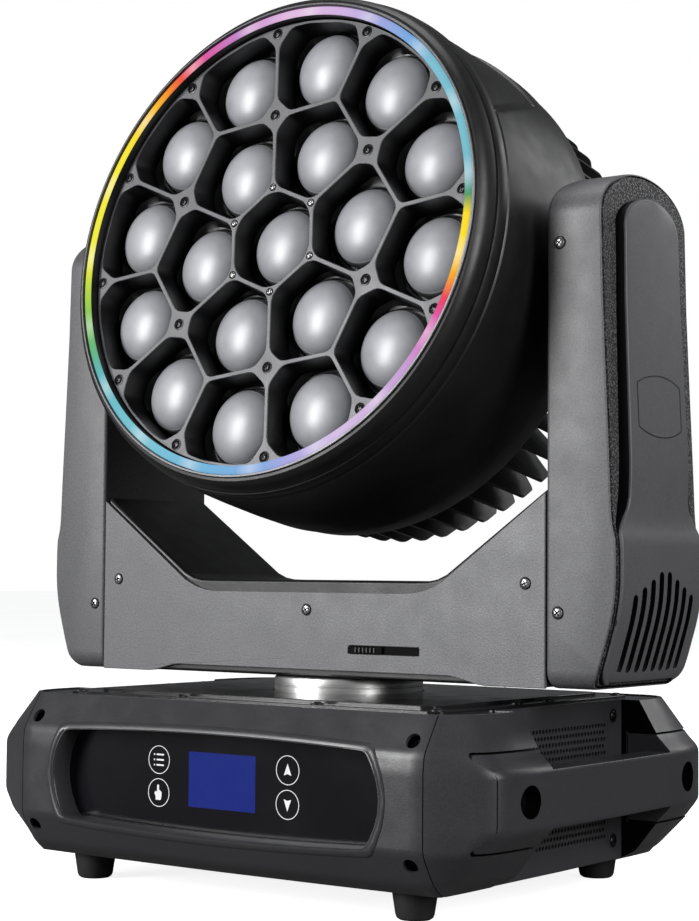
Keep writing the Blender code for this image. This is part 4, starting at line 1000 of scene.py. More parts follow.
# pan lock: the slot's well painted matt black as painted shadow, with the sliding tab
well = slab("pan_lock_well", [in_slot(SLOT_X[0] - 0.0003, SLOT_X[1] + 0.0003, -0.0003, 0.0008)],
            -(cover_high.y - 0.0001), -(cover_low.y + 0.0016), XZ, MATT_BLACK_AND_SHADOW, 0.0002)
piece(well, "yoke")
TAB_X = (0.0380, 0.0660)
parts = [slab("tab", [in_slot(*TAB_X, 0.0005, 0.0006)],
              -(cover_high.y + 0.0022), -(cover_low.y - 0.0004), XZ, MATT_BLACK_AND_SHADOW, 0.0003)]
for i in range(6):
    x = TAB_X[0] + 0.006 + 0.0032 * i
    parts.append(slab("rib", [in_slot(x - 0.0005, x + 0.0005, 0.001, 0)],
                      -(cover_low.y + 0.001), -(cover_low.y - 0.0012), XZ, BLACK, 0.0002))
piece(merge("pan_lock_slider", parts), "pan_lock", ["pan_lock"])

# hub
z0, z1 = hub_low.z, hub_high.z
hub = turned("pan_hub_ring", (
    (hub_r - 0.0025, z1), (hub_r - 0.0006, z1 - 0.0004), (hub_r, z1 - 0.0014), (hub_r, 0.1395), (hub_r - 0.0004, 0.1391),
    (hub_r - 0.0004, 0.1385), (hub_r, 0.1381), (hub_r, z0 + 0.05), (hub_r - 0.003, z0 + 0.047), (hub_r - 0.003, z0),
    (0.034, z0), (0.032, z0 + 0.002), (0.032, z1 - 0.002), (0.034, z1),
), STEEL, segs=160)
piece(hub, "yoke", ["pan_hub"])

# ---------------------------------------------------------------- arms

ARM_INNER = 0.1970
ARM_TOP = 0.4870
ARCH_Z, ARCH_RISE = 0.455, 0.032
PROFILE = (
    (0.1454, 0.2289), (0.1526, 0.2344), (0.1640, 0.2384), (0.1760, 0.2420), (0.1890, 0.2458), (0.2020, 0.2484),
    (0.2160, 0.2494), (0.2430, 0.2492), (0.2500, 0.2466), (0.2600, 0.2457), (0.2868, 0.2447), (0.3966, 0.2396),
    (0.4575, 0.2382), (0.4870, 0.2370),
)
STATIONS = (
    0.4500, 0.4300, 0.4000, 0.3700, 0.3400, 0.3150, 0.2950, 0.2850, 0.2770, 0.2700, 0.2630, 0.2570, 0.2520, 0.2480,
    0.2430, 0.2350, 0.2260, 0.2160, 0.2060, 0.1960, 0.1860, 0.1760, 0.1680, 0.1620,
)


def outer_x(z):
    """The arm's outer side at a height, eased over its bends."""
    reach = 0.004
    return (along(PROFILE, z - reach) + 2 * along(PROFILE, z) + along(PROFILE, z + reach)) / 4


def inner_x(z):
    """The arm's inner face: upright, rounded over at the top."""
    r = 0.0145
    over = max(0.0, z - (ARM_TOP - r))
    return ARM_INNER + r - math.sqrt(max(0.0, r * r - over * over))


def arm_ring(inset):
    """The side outline in (y, z): arched top, straight sides, rounded foot. inset is a number or a function of height."""
    amount = inset if callable(inset) else (lambda z: inset)
    half = DEPTH / 2
    top = amount(0.45)
    points = []
    for i in range(33):
        t = math.pi * i / 32
        points.append((
            YOKE_Y + (half - top) * math.cos(t), ARCH_Z - top * 0.3 + (ARCH_RISE - top * 0.66) * math.sin(t)
        ))
    low = amount(0.15)
    corner = max(0.002, 0.012 - low)
    left = [(YOKE_Y - (half - amount(z)), z) for z in STATIONS]
    for i in range(7):
        t = math.pi / 2 * i / 6
        left.append((
            YOKE_Y - (half - low) + corner * (1 - math.cos(t)), FLOOR + low + corner * (1 - math.sin(t)) + 0.0
        ))
    right = [(2 * YOKE_Y - y, z) for y, z in reversed(left)]
    return points + left + right


def arm_shell(word, side):
    """One arm's shell: rounded inner edge, front and top skin, dark joint line, leather-grain border, groove."""
    border = lambda z: along(((0.2500, 0.0050), (0.2700, 0.0112), (0.2900, 0.0140), (0.4200, 0.0197)), z)
    stages = []
    for i in range(5):
        t = math.pi / 2 * i / 4
        stages.append((0.0030 * (1 - math.sin(t)), lambda z, e=0.0030 * (1 - math.cos(t)): inner_x(z) + e, 0))
    stages.append((0.0, lambda z: outer_x(z) - 0.0018, 0))
    for i in range(1, 5):
        t = math.pi / 2 * i / 4
        stages.append((0.0010 * (1 - math.cos(t)), lambda z, e=0.0010 * (1 - math.sin(t)): outer_x(z) - e - 0.0008, 0))
    stages.append((0.0011, lambda z: outer_x(z) - 0.0024, 1))
    stages.append((0.0022, lambda z: outer_x(z) - 0.0024, 1))
    stages.append((0.0026, lambda z: outer_x(z) - 0.0002, 2))
    stages.append((lambda z: border(z) - 0.0010, lambda z: outer_x(z) - 0.0004, 2))
    stages.append((lambda z: border(z), lambda z: outer_x(z) - 0.0016, 1))
    stages.append((lambda z: border(z) + 0.0004, lambda z: outer_x(z) - 0.0080, 1))
    stages.append((lambda z: border(z) + 0.0080, lambda z: outer_x(z) - 0.0082, 1))
    stages.append((lambda z: border(z) + 0.0086, lambda z: outer_x(z) - 0.0240, 1))
    rows, marks = [], []
    for inset, x_of, mark_number in stages:
        rows.append([(side * x_of(z), y, z) for y, z in arm_ring(inset)])
        marks.append(mark_number)
    bm, made = grid(rows, close_u=True, marks=marks[1:])
    for ring, number in ((made[0], 0), (made[-1], 1)):
        count = len(ring)
        arch = 33
        left = ring[arch // 2:arch + len(STATIONS) + 7]
        right = list(reversed(ring[:arch // 2 + 1])) + list(reversed(ring[arch + len(STATIONS) + 7:]))
        for a, b, c, d in zip(left, left[1:], right[1:], right):
            corners = [v for k, v in enumerate((a, b, c, d)) if v not in (a, b, c, d)[:k]]
            if len(corners) > 2:
                bm.faces.new(corners).material_index = number
    shell = bare(word + "_arm_skin", bm, [SATIN, DEEP_BLACK_AND_SHADE, LEATHER], 40)
    bore = barrel_cutter("bore", 0.0135, (side * 0.190, YOKE_Y, tilt_axis.z), (side * 0.225, YOKE_Y, tilt_axis.z), 48)
    cut(shell, bore)
    shell.data.shade_smooth()
    shell.data.set_sharp_from_angle(angle=math.radians(40))
    piece(shell, "yoke", [word + "_arm_shell"])


def cover_half(z):
    """Half the raised cover's width at a height: narrow above, flaring to full width at the foot."""
    full = DEPTH / 2 - 0.0036
    narrow = along(((0.290, 0.0405), (0.440, 0.0372)), z)
    return narrow + (full - narrow) * (1 - smooth(z, 0.2440, 0.2690))


COVER_ARCH_Z, COVER_RISE = 0.4480, 0.0225


def cover_rows(inset):
    """The cover's outline as matched (height, half-width) rows, from the top down."""
    rows = []
    for i in range(17):
        t = math.pi / 2 * (1 - i / 16)
        half = (cover_half(COVER_ARCH_Z) - inset) * math.cos(t)
        rows.append((COVER_ARCH_Z + (COVER_RISE - inset) * math.sin(t), half))
    heights = [z for z in STATIONS[1:] if z > 0.2450] + [0.2430 - 0.004 * k for k in range(21)]
    for z in heights:
        rows.append((z, cover_half(z) - inset))
    low = FLOOR + 0.0030
    corner = 0.0115 - inset * 0.9
    wide = DEPTH / 2 - 0.0036 - inset
    for i in range(1, 8):
        t = math.pi / 2 * i / 7
        rows.append((low + inset + corner * (1 - math.sin(t)), wide - corner * (1 - math.cos(t))))
    return rows


def cover_x(z, u):
    """The cover's face: proud of the shell, a little crowned across."""
    proud = 0.0042 + 0.0028 * smooth(z, 0.246, 0.300)
    return outer_x(z) + proud - 0.0012 * u * u


def arm_cover(word, side):
    """The raised outer cover, its edges rolled, with slots cut low down."""
    roll = 0.0018
    columns = [k / 16 - 1.0 for k in range(33)]
    flat, wall = cover_rows(roll), cover_rows(0.0)
    edge = [(roll * math.sin(math.pi / 2 * i / 4), roll * (1 - math.cos(math.pi / 2 * i / 4))) for i in range(1, 5)]
    outlines = [(cover_rows(roll - out), drop) for out, drop in edge]
    rows = []
    for k, (z_flat, half_flat) in enumerate(flat):
        z_wall, half_wall = wall[k]
        deep = outer_x(z_wall) - 0.0075
        left = [(deep, -half_wall, z_wall)]
        for outline, drop in reversed(outlines):
            z, half = outline[k]
            left.append((cover_x(z_flat, 1.0) - drop, -half, z))
        face = [(cover_x(z_flat, u), u * half_flat, z_flat) for u in columns]
        row = left + face + [(x, -y, z) for x, y, z in reversed(left)]
        rows.append([(side * x, YOKE_Y + y, z) for x, y, z in row])
    foot_z = FLOOR + 0.0030
    rows.append([(side * (outer_x(foot_z) - 0.0075), y, foot_z) for x, y, z in rows[-1]])
    bm, made = grid(rows)
    for face in bm.faces:
        middle_x = face.calc_center_median().x * side
        face.material_index = 1 if middle_x < outer_x(face.calc_center_median().z) + 0.0015 else 0
    bmesh.ops.remove_doubles(bm, verts=bm.verts, dist=0.000004)
    bmesh.ops.dissolve_degenerate(bm, dist=0.000004, edges=bm.edges)
    back_face = bmesh.ops.holes_fill(bm, edges=[e for e in bm.edges if e.is_boundary], sides=0)["faces"]
    for face in back_face:
        face.material_index = 1
    bmesh.ops.triangulate(bm, faces=bm.faces)
    cover = bare(word + "_arm_panel", bm, [COVER, DEEP_BLACK_AND_SHADE], 50)
    # The slots are cut with a near-black cutter: painted shade on their walls.
    slots = []
    for i in range(8):
        y = YOKE_Y + (i - 3.5) * 0.011
        top = 0.207 + 0.005 * min(i, 7 - i)
        xs = sorted((side * 0.2395, side * 0.29))
        slots.append(slab("slot", [stadium(y, 0.0031, 0.156, top)], xs[0], xs[1], YZ, DEEP_BLACK_AND_SHADE))
    cut(cover, *slots)
    cover.data.shade_smooth()
    cover.data.set_sharp_from_angle(angle=math.radians(38))
    piece(cover, "yoke", [word + "_arm_cover"])
    # A near-black sheet just behind the vent slots: painted shade in the slots.
    xs = sorted((side * 0.2250, side * 0.2262))
    shade_sheet = slab(word + "_arm_vent_shade_sheet", [rounded([
        (YOKE_Y - 0.047, 0.153), (YOKE_Y + 0.047, 0.153), (YOKE_Y + 0.047, 0.226), (YOKE_Y - 0.047, 0.226)
    ], 0.004)], xs[0], xs[1], YZ, DEEP_BLACK_AND_SHADE, 0.0003)
    piece(shade_sheet, "yoke")
    ring_points = []
    for radius in (0.0, 0.0008):
        outline = []
        for i in range(96):
            turn = 2 * math.pi * i / 96
            y = (0.0420 - radius) * math.cos(turn)
            outline.append((YOKE_Y + max(radius - 0.0300, min(0.0300 - radius, y)), 0.3310 + (0.0208 - radius) * math.sin(turn)))
        ring_points.append(outline)
    rows = []
    for outline, lift in ((ring_points[0], -0.0004), (ring_points[0], 0.00018), (ring_points[1], 0.00018), (ring_points[1], -0.0004)):
        rows.append([
            (side * (cover_x(z, (y - YOKE_Y) / (cover_half(z) - roll)) + lift), y, z) for y, z in outline
        ])
    bm, _ = grid(rows, close_u=True, close_v=True)
    piece(bare(word + "_badge_outline", bm, [BLACK]), "yoke")
    places = [((side * x, YOKE_Y - DEPTH / 2, z), (0, -1, 0), 0.5 + z) for x, z in ((0.2063, 0.1948), (0.2073, 0.4367))]
    places += [((x, YOKE_Y + DEPTH / 2, z), (0, 1, 0), s) for (x, _, z), _, s in list(places)]
    screws(word + "_arm_screws", places, 0.0036, BRIGHT_SCREW, "yoke", seat=1.20)
    collar = turned(word + "_arm_bearing", (
        (0.0129, -0.0020), (0.0129, 0.0016), (0.0150, 0.0022), (0.0205, 0.0018), (0.0220, 0.0004), (0.0220, -0.0020),
    ), BLACK, segs=64)
    turn = Matrix.Rotation(-side * math.pi / 2, 4, "Y")
    piece(collar, "yoke", matrix=Matrix.Translation((side * ARM_INNER, YOKE_Y, tilt_axis.z)) @ turn)


for side, word in ((1, "right"), (-1, "left")):
    arm_shell(word, side)
    arm_cover(word, side)

# ---------------------------------------------------------------- head

FACE_Z = 0.112
RING_IN, RING_OUT = 0.1636, 0.1706
bezel_profile = [
    (0.17095, 0.0900), (0.17095, FACE_Z + 0.0006), (0.1713, FACE_Z + 0.0010), (0.1724, FACE_Z + 0.0010),
    (0.1729, FACE_Z + 0.0004), (0.1731, FACE_Z - 0.0006), (0.1750, FACE_Z - 0.0010), (0.1775, FACE_Z - 0.0032),
    (0.1793, FACE_Z - 0.0070), (0.1803, FACE_Z - 0.0120), (0.1805, FACE_Z - 0.0136), (0.1798, FACE_Z - 0.0140),
    (0.1798, FACE_Z - 0.0147), (0.1811, FACE_Z - 0.0152), (0.1820, FACE_Z - 0.0170), (0.1826, FACE_Z - 0.0240),
    (0.1822, FACE_Z - 0.0250), (0.1760, FACE_Z - 0.0252), (0.1760, 0.0900),
]
marks = [0] * len(bezel_profile)
for k in (2, 3):
    marks[k] = 1
bezel = turned("head_front_rim", bezel_profile, [BLACK, LINE], segs=224, marks=marks, angle=28)
piece(bezel, "head", ["front_bezel"], HEAD)
ring = turned("head_light_ring", (
    (RING_IN + 0.0007, FACE_Z - 0.008), (RING_IN + 0.0007, FACE_Z - 0.0008), (RING_IN + 0.0012, FACE_Z - 0.0003),
    (RING_IN + 0.0022, FACE_Z), (RING_OUT - 0.0022, FACE_Z), (RING_OUT - 0.0009, FACE_Z - 0.0003),
    (RING_OUT - 0.0002, FACE_Z - 0.0008), (RING_OUT - 0.0002, FACE_Z - 0.008),
), [RING, BLACK], segs=224, marks=[1] + [0] * 7)
piece(ring, "head", ["led_ring"], HEAD)

LENS_TURN = math.radians(7)
LENS_R = 0.028
COMB_R, COMB_Z = 0.1632, (0.080, 0.105)
WEB_HALF = 0.0016


def lens_places():
    """Name and centre of every lens."""
    places = [("centre", Vector((0.0, 0.0)))]
    for word, count, radius, start in (("inner", 6, 0.069, 0.0), ("outer", 12, 0.132, math.radians(15))):
        for i in range(count):
            turn = LENS_TURN + start + 2 * math.pi * i / count
            places.append((f"{word}_{i + 1}", Vector((radius * math.cos(turn), radius * math.sin(turn)))))
    return places


def boss_places():
    """Ring, centre and reach of every screw of the honeycomb."""
    bosses = []
    rings = ((0, 6, 0.0392, math.radians(30), 0.0042), (1, 6, 0.0945, math.radians(30), 0.0098), (2, 12, 0.1585, 0.0, 0.0080))
    for number, count, radius, start, reach in rings:
        for i in range(count):
            turn = LENS_TURN + start + 2 * math.pi * i / count
            bosses.append((number, Vector((radius * math.cos(turn), radius * math.sin(turn))), reach))
    return bosses


def clip(outline, point, normal):
    kept = []
    for a, b in zip(outline, outline[1:] + outline[:1]):
        da, db = (a - point).dot(normal), (b - point).dot(normal)
        if da <= 0:
            kept.append(a)
        if da * db < 0:
            kept.append(a.lerp(b, da / (da - db)))
    return kept


def cell(centre):
    """The opening round one lens: webs halfway to its neighbours, corners cut and rounded at the screws."""
    outline = [centre + Vector(p) for p in circle(0.060, 4, start=math.pi / 4)]
    for _, other in lens_places():
        apart = other - centre
        if 0 < apart.length < 0.090:
            normal = apart.normalized()
            outline = clip(outline, centre + apart / 2 - normal * WEB_HALF, normal)
    for _, boss, reach in boss_places():
        apart = boss - centre
        if apart.length < 0.060:
            normal = apart.normalized()
            outline = clip(outline, boss - normal * reach, normal)
    if centre.length > 0.1:
        for lean in (-10, 0, 10):
            normal = Matrix.Rotation(math.radians(lean), 2) @ centre.normalized()
            outline = clip(outline, normal * (COMB_R - 0.0020), normal)
    tidy = []
    for p in outline:
        if not tidy or (p - tidy[-1]).length > 0.0010:
            tidy.append(p)
    if (tidy[0] - tidy[-1]).length < 0.0010:
        tidy.pop()
    return [Vector(p) for p in rounded([tuple(p) for p in tidy], 0.0040, 5)]


def reach_of(outline, centre, turn):
    """Distance from the centre to the outline along a direction."""
    d = Vector((math.cos(turn), math.sin(turn)))
    best = 0.0
    for a, b in zip(outline, outline[1:] + outline[:1]):
        p, q = a - centre, b - centre
        side_a, side_b = d.x * p.y - d.y * p.x, d.x * q.y - d.y * q.x
        if side_a == side_b or side_a * side_b > 0:
            continue
        hit = p.lerp(q, side_a / (side_a - side_b))
        best = max(best, hit.dot(d))
    return best


RAYS = 72
web_outlines = [circle(COMB_R, 240)]
funnels = bmesh.new()
for _, centre in lens_places():
    outline = cell(centre)
    turns = [2 * math.pi * i / RAYS for i in range(RAYS)]
    far = [reach_of(outline, centre, t) for t in turns]
    at = lambda r, t, z: (centre.x + r * math.cos(t), centre.y + r * math.sin(t), z)
    web_outlines.append([at(r + 0.0005, t, 0)[:2] for r, t in zip(far, turns)])
    floor_r = LENS_R + 0.0022
    levels = [
        [at(r + 0.0005, t, COMB_Z[1]) for r, t in zip(far, turns)],
        [at(r + 0.00015, t, COMB_Z[1] - 0.00015) for r, t in zip(far, turns)],
        [at(r, t, COMB_Z[1] - 0.0006) for r, t in zip(far, turns)],
        [at(r * 0.995, t, COMB_Z[1] - 0.006) for r, t in zip(far, turns)],
        [at(r * 0.97, t, COMB_Z[1] - 0.014) for r, t in zip(far, turns)],
        [at(r * 0.80 + floor_r * 0.20, t, COMB_Z[1] - 0.0205) for r, t in zip(far, turns)],
        [at(r * 0.30 + floor_r * 0.70, t, COMB_Z[0] + 0.0016) for r, t in zip(far, turns)],
        [at(floor_r + 0.0006, t, COMB_Z[0] + 0.0014) for t in turns],
        [at(floor_r + 0.0002, t, COMB_Z[0] + 0.0018) for t in turns],
        [at(floor_r - 0.0002, t, COMB_Z[0] + 0.0014) for t in turns],
        [at(floor_r - 0.0002, t, COMB_Z[0] - 0.0010) for t in turns],
    ]
    rows = [[funnels.verts.new(p) for p in level] for level in levels]
    for k, (upper, lower) in enumerate(zip(rows, rows[1:])):
        for i in range(RAYS):
            j = (i + 1) % RAYS
            face = funnels.faces.new((upper[i], lower[i], lower[j], upper[j]))
            face.material_index = 0 if k < 2 else (2 if k in (7, 8) else 1)
web = slab_bmesh(web_outlines, COMB_Z[1] - 0.0030, COMB_Z[1], XY)
web.normal_update()
for face in list(web.faces):
    if abs(face.normal.z) < 0.5 or face.calc_center_median().z < COMB_Z[1] - 0.001:
        if (face.calc_center_median().to_2d().length < COMB_R - 0.0003):
            web.faces.remove(face)
bmesh.ops.delete(web, geom=[v for v in web.verts if not v.link_faces], context="VERTS")
scratch = bpy.data.meshes.new("scratch")
web.to_mesh(scratch)
web.free()
funnels.from_mesh(scratch)
bpy.data.meshes.remove(scratch)
bmesh.ops.remove_doubles(funnels, verts=funnels.verts, dist=0.00002)
comb = bpy.data.meshes.new("head_honeycomb")
for face in funnels.faces:
    face.smooth = True
funnels.normal_update()
funnels.to_mesh(comb)
funnels.free()
for mat in (WEB, DEEP_BLACK_AND_SHADE, LINE):
    comb.materials.append(mat)
comb.set_sharp_from_angle(angle=math.radians(30))
comb_obj = bpy.data.objects.new("head_honeycomb", comb)
bpy.context.scene.collection.objects.link(comb_obj)
piece(comb_obj, "head", ["honeycomb"], HEAD)
skirt = turned("head_honeycomb_wall", (
    (COMB_R, COMB_Z[1] - 0.0001), (COMB_R, COMB_Z[0]), (COMB_R - 0.0015, COMB_Z[0]), (COMB_R - 0.0015, COMB_Z[1] - 0.0004),
), DEEP_BLACK_AND_SHADE, segs=160)
piece(skirt, "head", matrix=HEAD)

bright, dark = [], []
for number, boss, _ in boss_places():
    spot = (Vector((boss.x, boss.y, COMB_Z[1])), (0, 0, 1), boss.x * 30)
    (bright if number == 0 else dark).append(spot)
screws("head_screws_bright", bright, 0.0023, BRIGHT_SCREW, "head", HEAD, seat=1.25, dome=0.5)
screws("head_screws_dark", dark, 0.0031, DARK_SCREW, "head", HEAD, seat=1.35, dome=0.35)

# lenses on the zoom carriage
LENS_FOOT, LENS_RIM_Z, LENS_TOP = 0.0768, 0.0833, 0.0978
for name, centre in lens_places():
    shape = [(0.0, LENS_TOP)]
    for i in range(1, 13):
        t = math.pi / 2 * i / 12
        shape.append((LENS_R * math.sin(t) ** 1.0, LENS_RIM_Z + (LENS_TOP - LENS_RIM_Z) * math.cos(t)))
    shape += [
        (LENS_R + 0.0006, LENS_RIM_Z - 0.0006), (LENS_R + 0.0006, LENS_RIM_Z - 0.0022), (LENS_R - 0.0006, LENS_RIM_Z - 0.0026),
        (LENS_R - 0.0006, LENS_FOOT), (0.0, LENS_FOOT),
    ]
    lens = turned("lens_dome_" + name, shape, LENS, segs=72, closed=False, angle=60)
    bm = bmesh.new()
    bm.from_mesh(lens.data)
    bmesh.ops.translate(bm, vec=(centre.x, centre.y, 0), verts=bm.verts)
    bm.to_mesh(lens.data)
    bm.free()
    piece(lens, "zoom_carriage", ["lens_" + name], HEAD)
carriage = slab("zoom_carriage_plate", [circle(0.158, 128)] + [circle(LENS_R - 0.005, 40, tuple(c)) for _, c in lens_places()],
                0.0735, 0.0765, XY, DEEP_BLACK_AND_SHADE, 0.0004)
piece(carriage, "zoom_carriage", ["zoom_plate"], HEAD)

# shell: a drum with a shallow panel let into its top
SHELL_FRONT, SHELL_REAR = 0.0866, -0.0095


def shell_r(z):
    return along(((-0.0095, 0.1860), (0.020, 0.1860), (0.052, 0.1850), (0.075, 0.1838), (0.0866, 0.1828)), z)


def sunk(z, turn):
    """How far the shell's top panel is let in at a place."""
    up = abs((math.degrees(turn) + 360) % 360 - 90)
    s = (FACE_Z - z) * 1000
    limit = 90 - (26 + (s - 22) * 13 / 80)
    across = 1 - smooth(up, limit - 0.6, limit + 0.6)
    lengthways = 1 - smooth(s, 101.5, 104.0)
    return 0.0022 * across * lengthways


def shell_rows(offset, count):
    zs = [SHELL_FRONT - 0.0006 * k for k in range(3)]
    zs += [SHELL_FRONT - 0.004 - 0.0045 * k for k in range(17)]
    zs = [z for z in zs if z > 0.0125] + [0.0112, 0.0104, 0.0098, 0.0092, 0.0086, 0.0080, 0.0070, 0.0030, -0.0020, -0.0060, -0.0083, -0.0095]
    rows = []
    for z in zs:
        ease = 0.0010 * (1 - smooth(SHELL_FRONT - z, 0.0, 0.0014)) + 0.0010 * (1 - smooth(z - SHELL_REAR, 0.0, 0.0014))
        row = []
        for i in range(count):
            t = 2 * math.pi * i / count
            r = shell_r(z) - ease - (sunk(z, t) if offset == 0 else offset)
            row.append((r * math.cos(t), r * math.sin(t), z))
        rows.append(row)
    return rows


outer_rows = shell_rows(0.0, 720)
inner_rows = [[(x * 0.978, y * 0.978, z) for x, y, z in row] for row in (outer_rows[-1], outer_rows[0])]
bm, _ = grid(outer_rows + inner_rows, close_u=True, close_v=True)
drum = bare("head_drum", bm, [BLACK], 30)
piece(drum, "head", ["head_shell"], HEAD)

# rear frame with its trunnions
frame_profile = (
    (0.1640, -0.0306), (0.1640, 0.0220), (0.1765, 0.0220), (0.1765, -0.0080), (0.1828, -0.0104), (0.1838, -0.0112),
    (0.1838, -0.0280), (0.1830, -0.0300), (0.1822, -0.0308),
)
rear_frame = turned("frame", frame_profile, BLACK, segs=192)
parts = [rear_frame]
for side in (1, -1):
    axle = turned("axle", (
        (0.0, 0.0), (0.0175, 0.0), (0.0175, 0.018), (0.0165, 0.0195), (0.0119, 0.0200), (0.0119, 0.0440), (0.0110, 0.0448), (0.0, 0.0448),
    ), STEEL, segs=64, closed=False)
    axle.matrix_world = Matrix.Translation((side * 0.1670, 0, 0)) @ Matrix.Rotation(side * math.pi / 2, 4, "Y")
    parts.append(axle)
made = sharpen(merge("head_rear_frame", parts), 32)
piece(made, "head", ["head_frame"], HEAD)

# heat sink: chamfered radial fins on a hub
FIN_FRONT, FIN_REAR, FIN_R, FIN_ROOT = -0.0312, -0.1160, 0.1755, 0.0620
fin_outline = rounded([
    (FIN_ROOT, FIN_FRONT), (FIN_R, FIN_FRONT), (FIN_R, FIN_REAR + 0.022), (FIN_R - 0.013, FIN_REAR), (FIN_ROOT, FIN_REAR),
], [0.0, 0.0008, 0.004, 0.004, 0.0], 3)
parts = []
fin_source = slab("fin", [fin_outline], -0.0013, 0.0013, XZ, ALLOY, 0.0004, 1)
for i in range(60):
    copy = linked("fin_copy", fin_source.data)
    copy.matrix_world = Matrix.Rotation(2 * math.pi * i / 60, 4, "Z")
    parts.append(copy)
core = turned("core", (
    (0.0600, FIN_REAR + 0.0010), (0.0645, FIN_REAR + 0.0010), (0.0650, FIN_REAR + 0.0018), (0.0650, FIN_FRONT), (0.1630, FIN_FRONT + 0.0002),
    (0.1630, FIN_FRONT + 0.0030), (0.0620, FIN_FRONT + 0.0040), (0.0620, 0.0436), (0.0, 0.0436), (0.0, -0.0880), (0.0600, -0.0880),
), ALLOY, segs=96)
parts.append(core)
made = sharpen(merge("head_heat_sink", parts), 30)
bpy.data.objects.remove(fin_source, do_unlink=True)
piece(made, "head", ["heat_sink"], HEAD)

# fan with twisted blades, and its wire guard
fan_low, fan_high = -0.1085, -0.0935
fan_hub = turned("hub", (
    (0.0, fan_low), (0.0170, fan_low), (0.0195, fan_low + 0.0012), (0.0200, fan_low + 0.0030), (0.0200, fan_high), (0.0, fan_high),
), BLACK, segs=64, closed=False)
parts = [fan_hub]
for i in range(7):
    rows = []
    for k in range(9):
        r = 0.0185 + (0.0535 - 0.0185) * k / 8
        pitch = math.radians(42 - 20 * k / 8)
        chord = 0.016 + 0.010 * k / 8
        lead = math.radians(9) * k / 8
        row = []
        for m in range(9):
            c = (m / 8 - 0.5)
            camber = 0.0018 * (1 - 4 * c * c)
            t = lead + c * chord * math.cos(pitch) / r
            z = (fan_low + fan_high) / 2 + c * chord * math.sin(pitch) * 0.8 + camber
            t += 2 * math.pi * i / 7
            row.append((r * math.cos(t), r * math.sin(t), z))
        rows.append(row)
    bm, _ = grid(rows)
    blade = bare("blade", bm, [BLACK], 60)
    thick = blade.modifiers.new("thick", "SOLIDIFY")
    thick.thickness = 0.0014
    thick.offset = 0
    parts.append(blade)
made = sharpen(merge("cooling_fan", parts), 40)
piece(made, "fan", ["fan_rotor"], HEAD)

wires = []
for radius in (0.012, 0.022, 0.032, 0.042, 0.052, 0.060):
    rows = []
    for i in range(97):
        t = 2 * math.pi * i / 96
        rows.append([
            ((radius + 0.0009 * math.cos(a)) * math.cos(t), (radius + 0.0009 * math.cos(a)) * math.sin(t), FIN_REAR - 0.0004 + 0.0009 * math.sin(a))
            for a in [2 * math.pi * k / 8 for k in range(8)]
        ])
    bm, _ = grid(rows[:-1], close_u=True, close_v=True)
    wires.append(bare("wire", bm, [BRIGHT_SCREW], 80))
for i in range(4):
    t = math.pi / 4 + math.pi / 2 * i
    spoke = turned("spoke", ((0.0, 0.0085), (0.0010, 0.0085), (0.0010, 0.0630), (0.0, 0.0630)), BRIGHT_SCREW, segs=12, closed=False)
    spoke.matrix_world = Matrix.Translation((0, 0, FIN_REAR + 0.0008)) @ Matrix.Rotation(t, 4, "Z") @ Matrix.Rotation(math.pi / 2, 4, "Y")
    wires.append(spoke)
piece(merge("fan_guard", wires), "head", matrix=HEAD)

# ---------------------------------------------------------------- CAD nodes that stay

KEPT = {
    "base_tray": SHEET, "power_supply": ALLOY, "pan_motor": BLACK, "pan_belt": BELT, "pan_pinion": ALLOY,
    "tilt_motor": BLACK, "tilt_belt": BELT, "tilt_pinion": ALLOY, "led_board": BOARD,
}
for node, mat in KEPT.items():
    mesh = frame["nodes"][node].data
    mesh.materials.clear()
    mesh.materials.append(mat)

# ---------------------------------------------------------------- stage, light and camera


def floor_material():
    """Pale paper: it meets the white background to the eye and throws little light back."""
    g = Graph("floor_pale")
    tone = g.ramp(g.noise(1.6, 3.0), ((0.3, (0.88, 0.88, 0.88)), (0.7, (0.92, 0.92, 0.92))))
    g.feed("Base Color", tone)
    g.feed("Emission Color", tone)
    g.shader.inputs["Emission Strength"].default_value = 0.95
    g.feed("Roughness", g.span(g.noise(40.0), 0.62, 0.78))
    g.feed("Normal", g.bump(g.noise(300.0), 0.05, 0.0002))
    dull = g.add("ShaderNodeBsdfDiffuse", None, {"Color": (0.16, 0.16, 0.16, 1.0)}).outputs[0]
    seen_by = g.add("ShaderNodeLightPath").outputs["Is Camera Ray"]
    mixed = g.add("ShaderNodeMixShader", {0: seen_by, 1: dull, 2: g.shader.outputs[0]}).outputs[0]
    g.tree.links.new(mixed, g.tree.nodes["Material Output"].inputs["Surface"])
    return g.mat


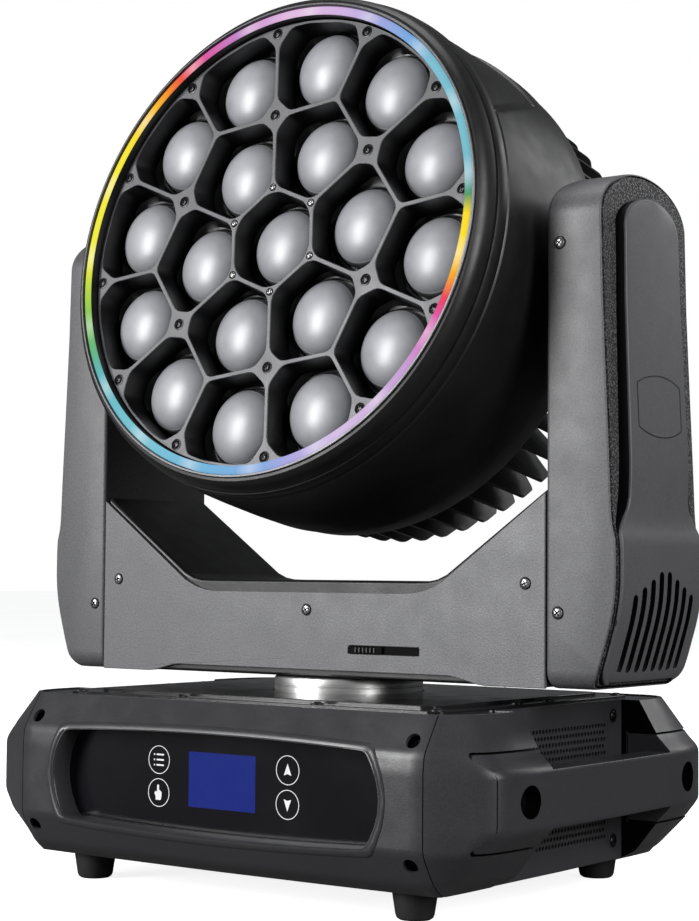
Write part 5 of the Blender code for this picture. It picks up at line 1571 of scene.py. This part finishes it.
bm = bmesh.new()
bmesh.ops.create_grid(bm, x_segments=8, y_segments=8, size=14.0)
floor = bare("floor", bm, [floor_material()])
floor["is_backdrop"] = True

scene = bpy.context.scene
world = bpy.data.worlds.new("studio")
scene.world = world
world.use_nodes = True
tree = world.node_tree
tree.nodes.clear()
out = tree.nodes.new("ShaderNodeOutputWorld")
mix = tree.nodes.new("ShaderNodeMixShader")
seen, lighting = tree.nodes.new("ShaderNodeBackground"), tree.nodes.new("ShaderNodeBackground")
path = tree.nodes.new("ShaderNodeLightPath")
seen.inputs["Color"].default_value = (1, 1, 1, 1)
seen.inputs["Strength"].default_value = 1.0
lighting.inputs["Color"].default_value = (0.95, 0.97, 1.0, 1)
lighting.inputs["Strength"].default_value = 0.10
tree.links.new(path.outputs["Is Camera Ray"], mix.inputs[0])
tree.links.new(lighting.outputs[0], mix.inputs[1])
tree.links.new(seen.outputs[0], mix.inputs[2])
tree.links.new(mix.outputs[0], out.inputs[0])
scene.view_settings.view_transform = "Standard"
scene.view_settings.look = "None"

middle = (cad_low + cad_high) / 2


def softbox(name, place, size, power, aim=middle):
    data = bpy.data.lights.new(name, "AREA")
    data.shape = "RECTANGLE"
    data.size, data.size_y = size
    data.energy = power
    light = bpy.data.objects.new(name, data)
    scene.collection.objects.link(light)
    light.location = place
    light.rotation_euler = (Vector(aim) - Vector(place)).to_track_quat("-Z", "Y").to_euler()
    return light


softbox("key", (-1.5, -2.5, 1.10), (0.9, 1.7), 105)
softbox("fill", (2.6, -0.7, 1.2), (1.0, 1.6), 58)
softbox("top", (-0.2, 0.2, 2.4), (1.2, 1.0), 13)
softbox("back", (0.9, 2.2, 1.4), (1.2, 1.0), 9)

camera_data = bpy.data.cameras.new("camera")
camera = bpy.data.objects.new("camera", camera_data)
scene.collection.objects.link(camera)
scene.camera = camera
camera_data.lens = 78.8
camera_data.sensor_width = 36.0
camera_data.clip_start, camera_data.clip_end = 0.05, 60
yaw, pitch, roll = math.radians(36.64), math.radians(3.16), math.radians(0.45)
forward = Vector((-math.sin(yaw) * math.cos(pitch), math.cos(yaw) * math.cos(pitch), math.sin(pitch)))
right = Vector((math.cos(yaw), math.sin(yaw), 0))
up = right.cross(forward)
right, up = math.cos(roll) * right + math.sin(roll) * up, -math.sin(roll) * right + math.cos(roll) * up
camera.matrix_world = Matrix.Translation((0.8795, -1.1840, 0.2204)) @ Matrix((right, up, -forward)).transposed().to_4x4()

low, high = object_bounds()
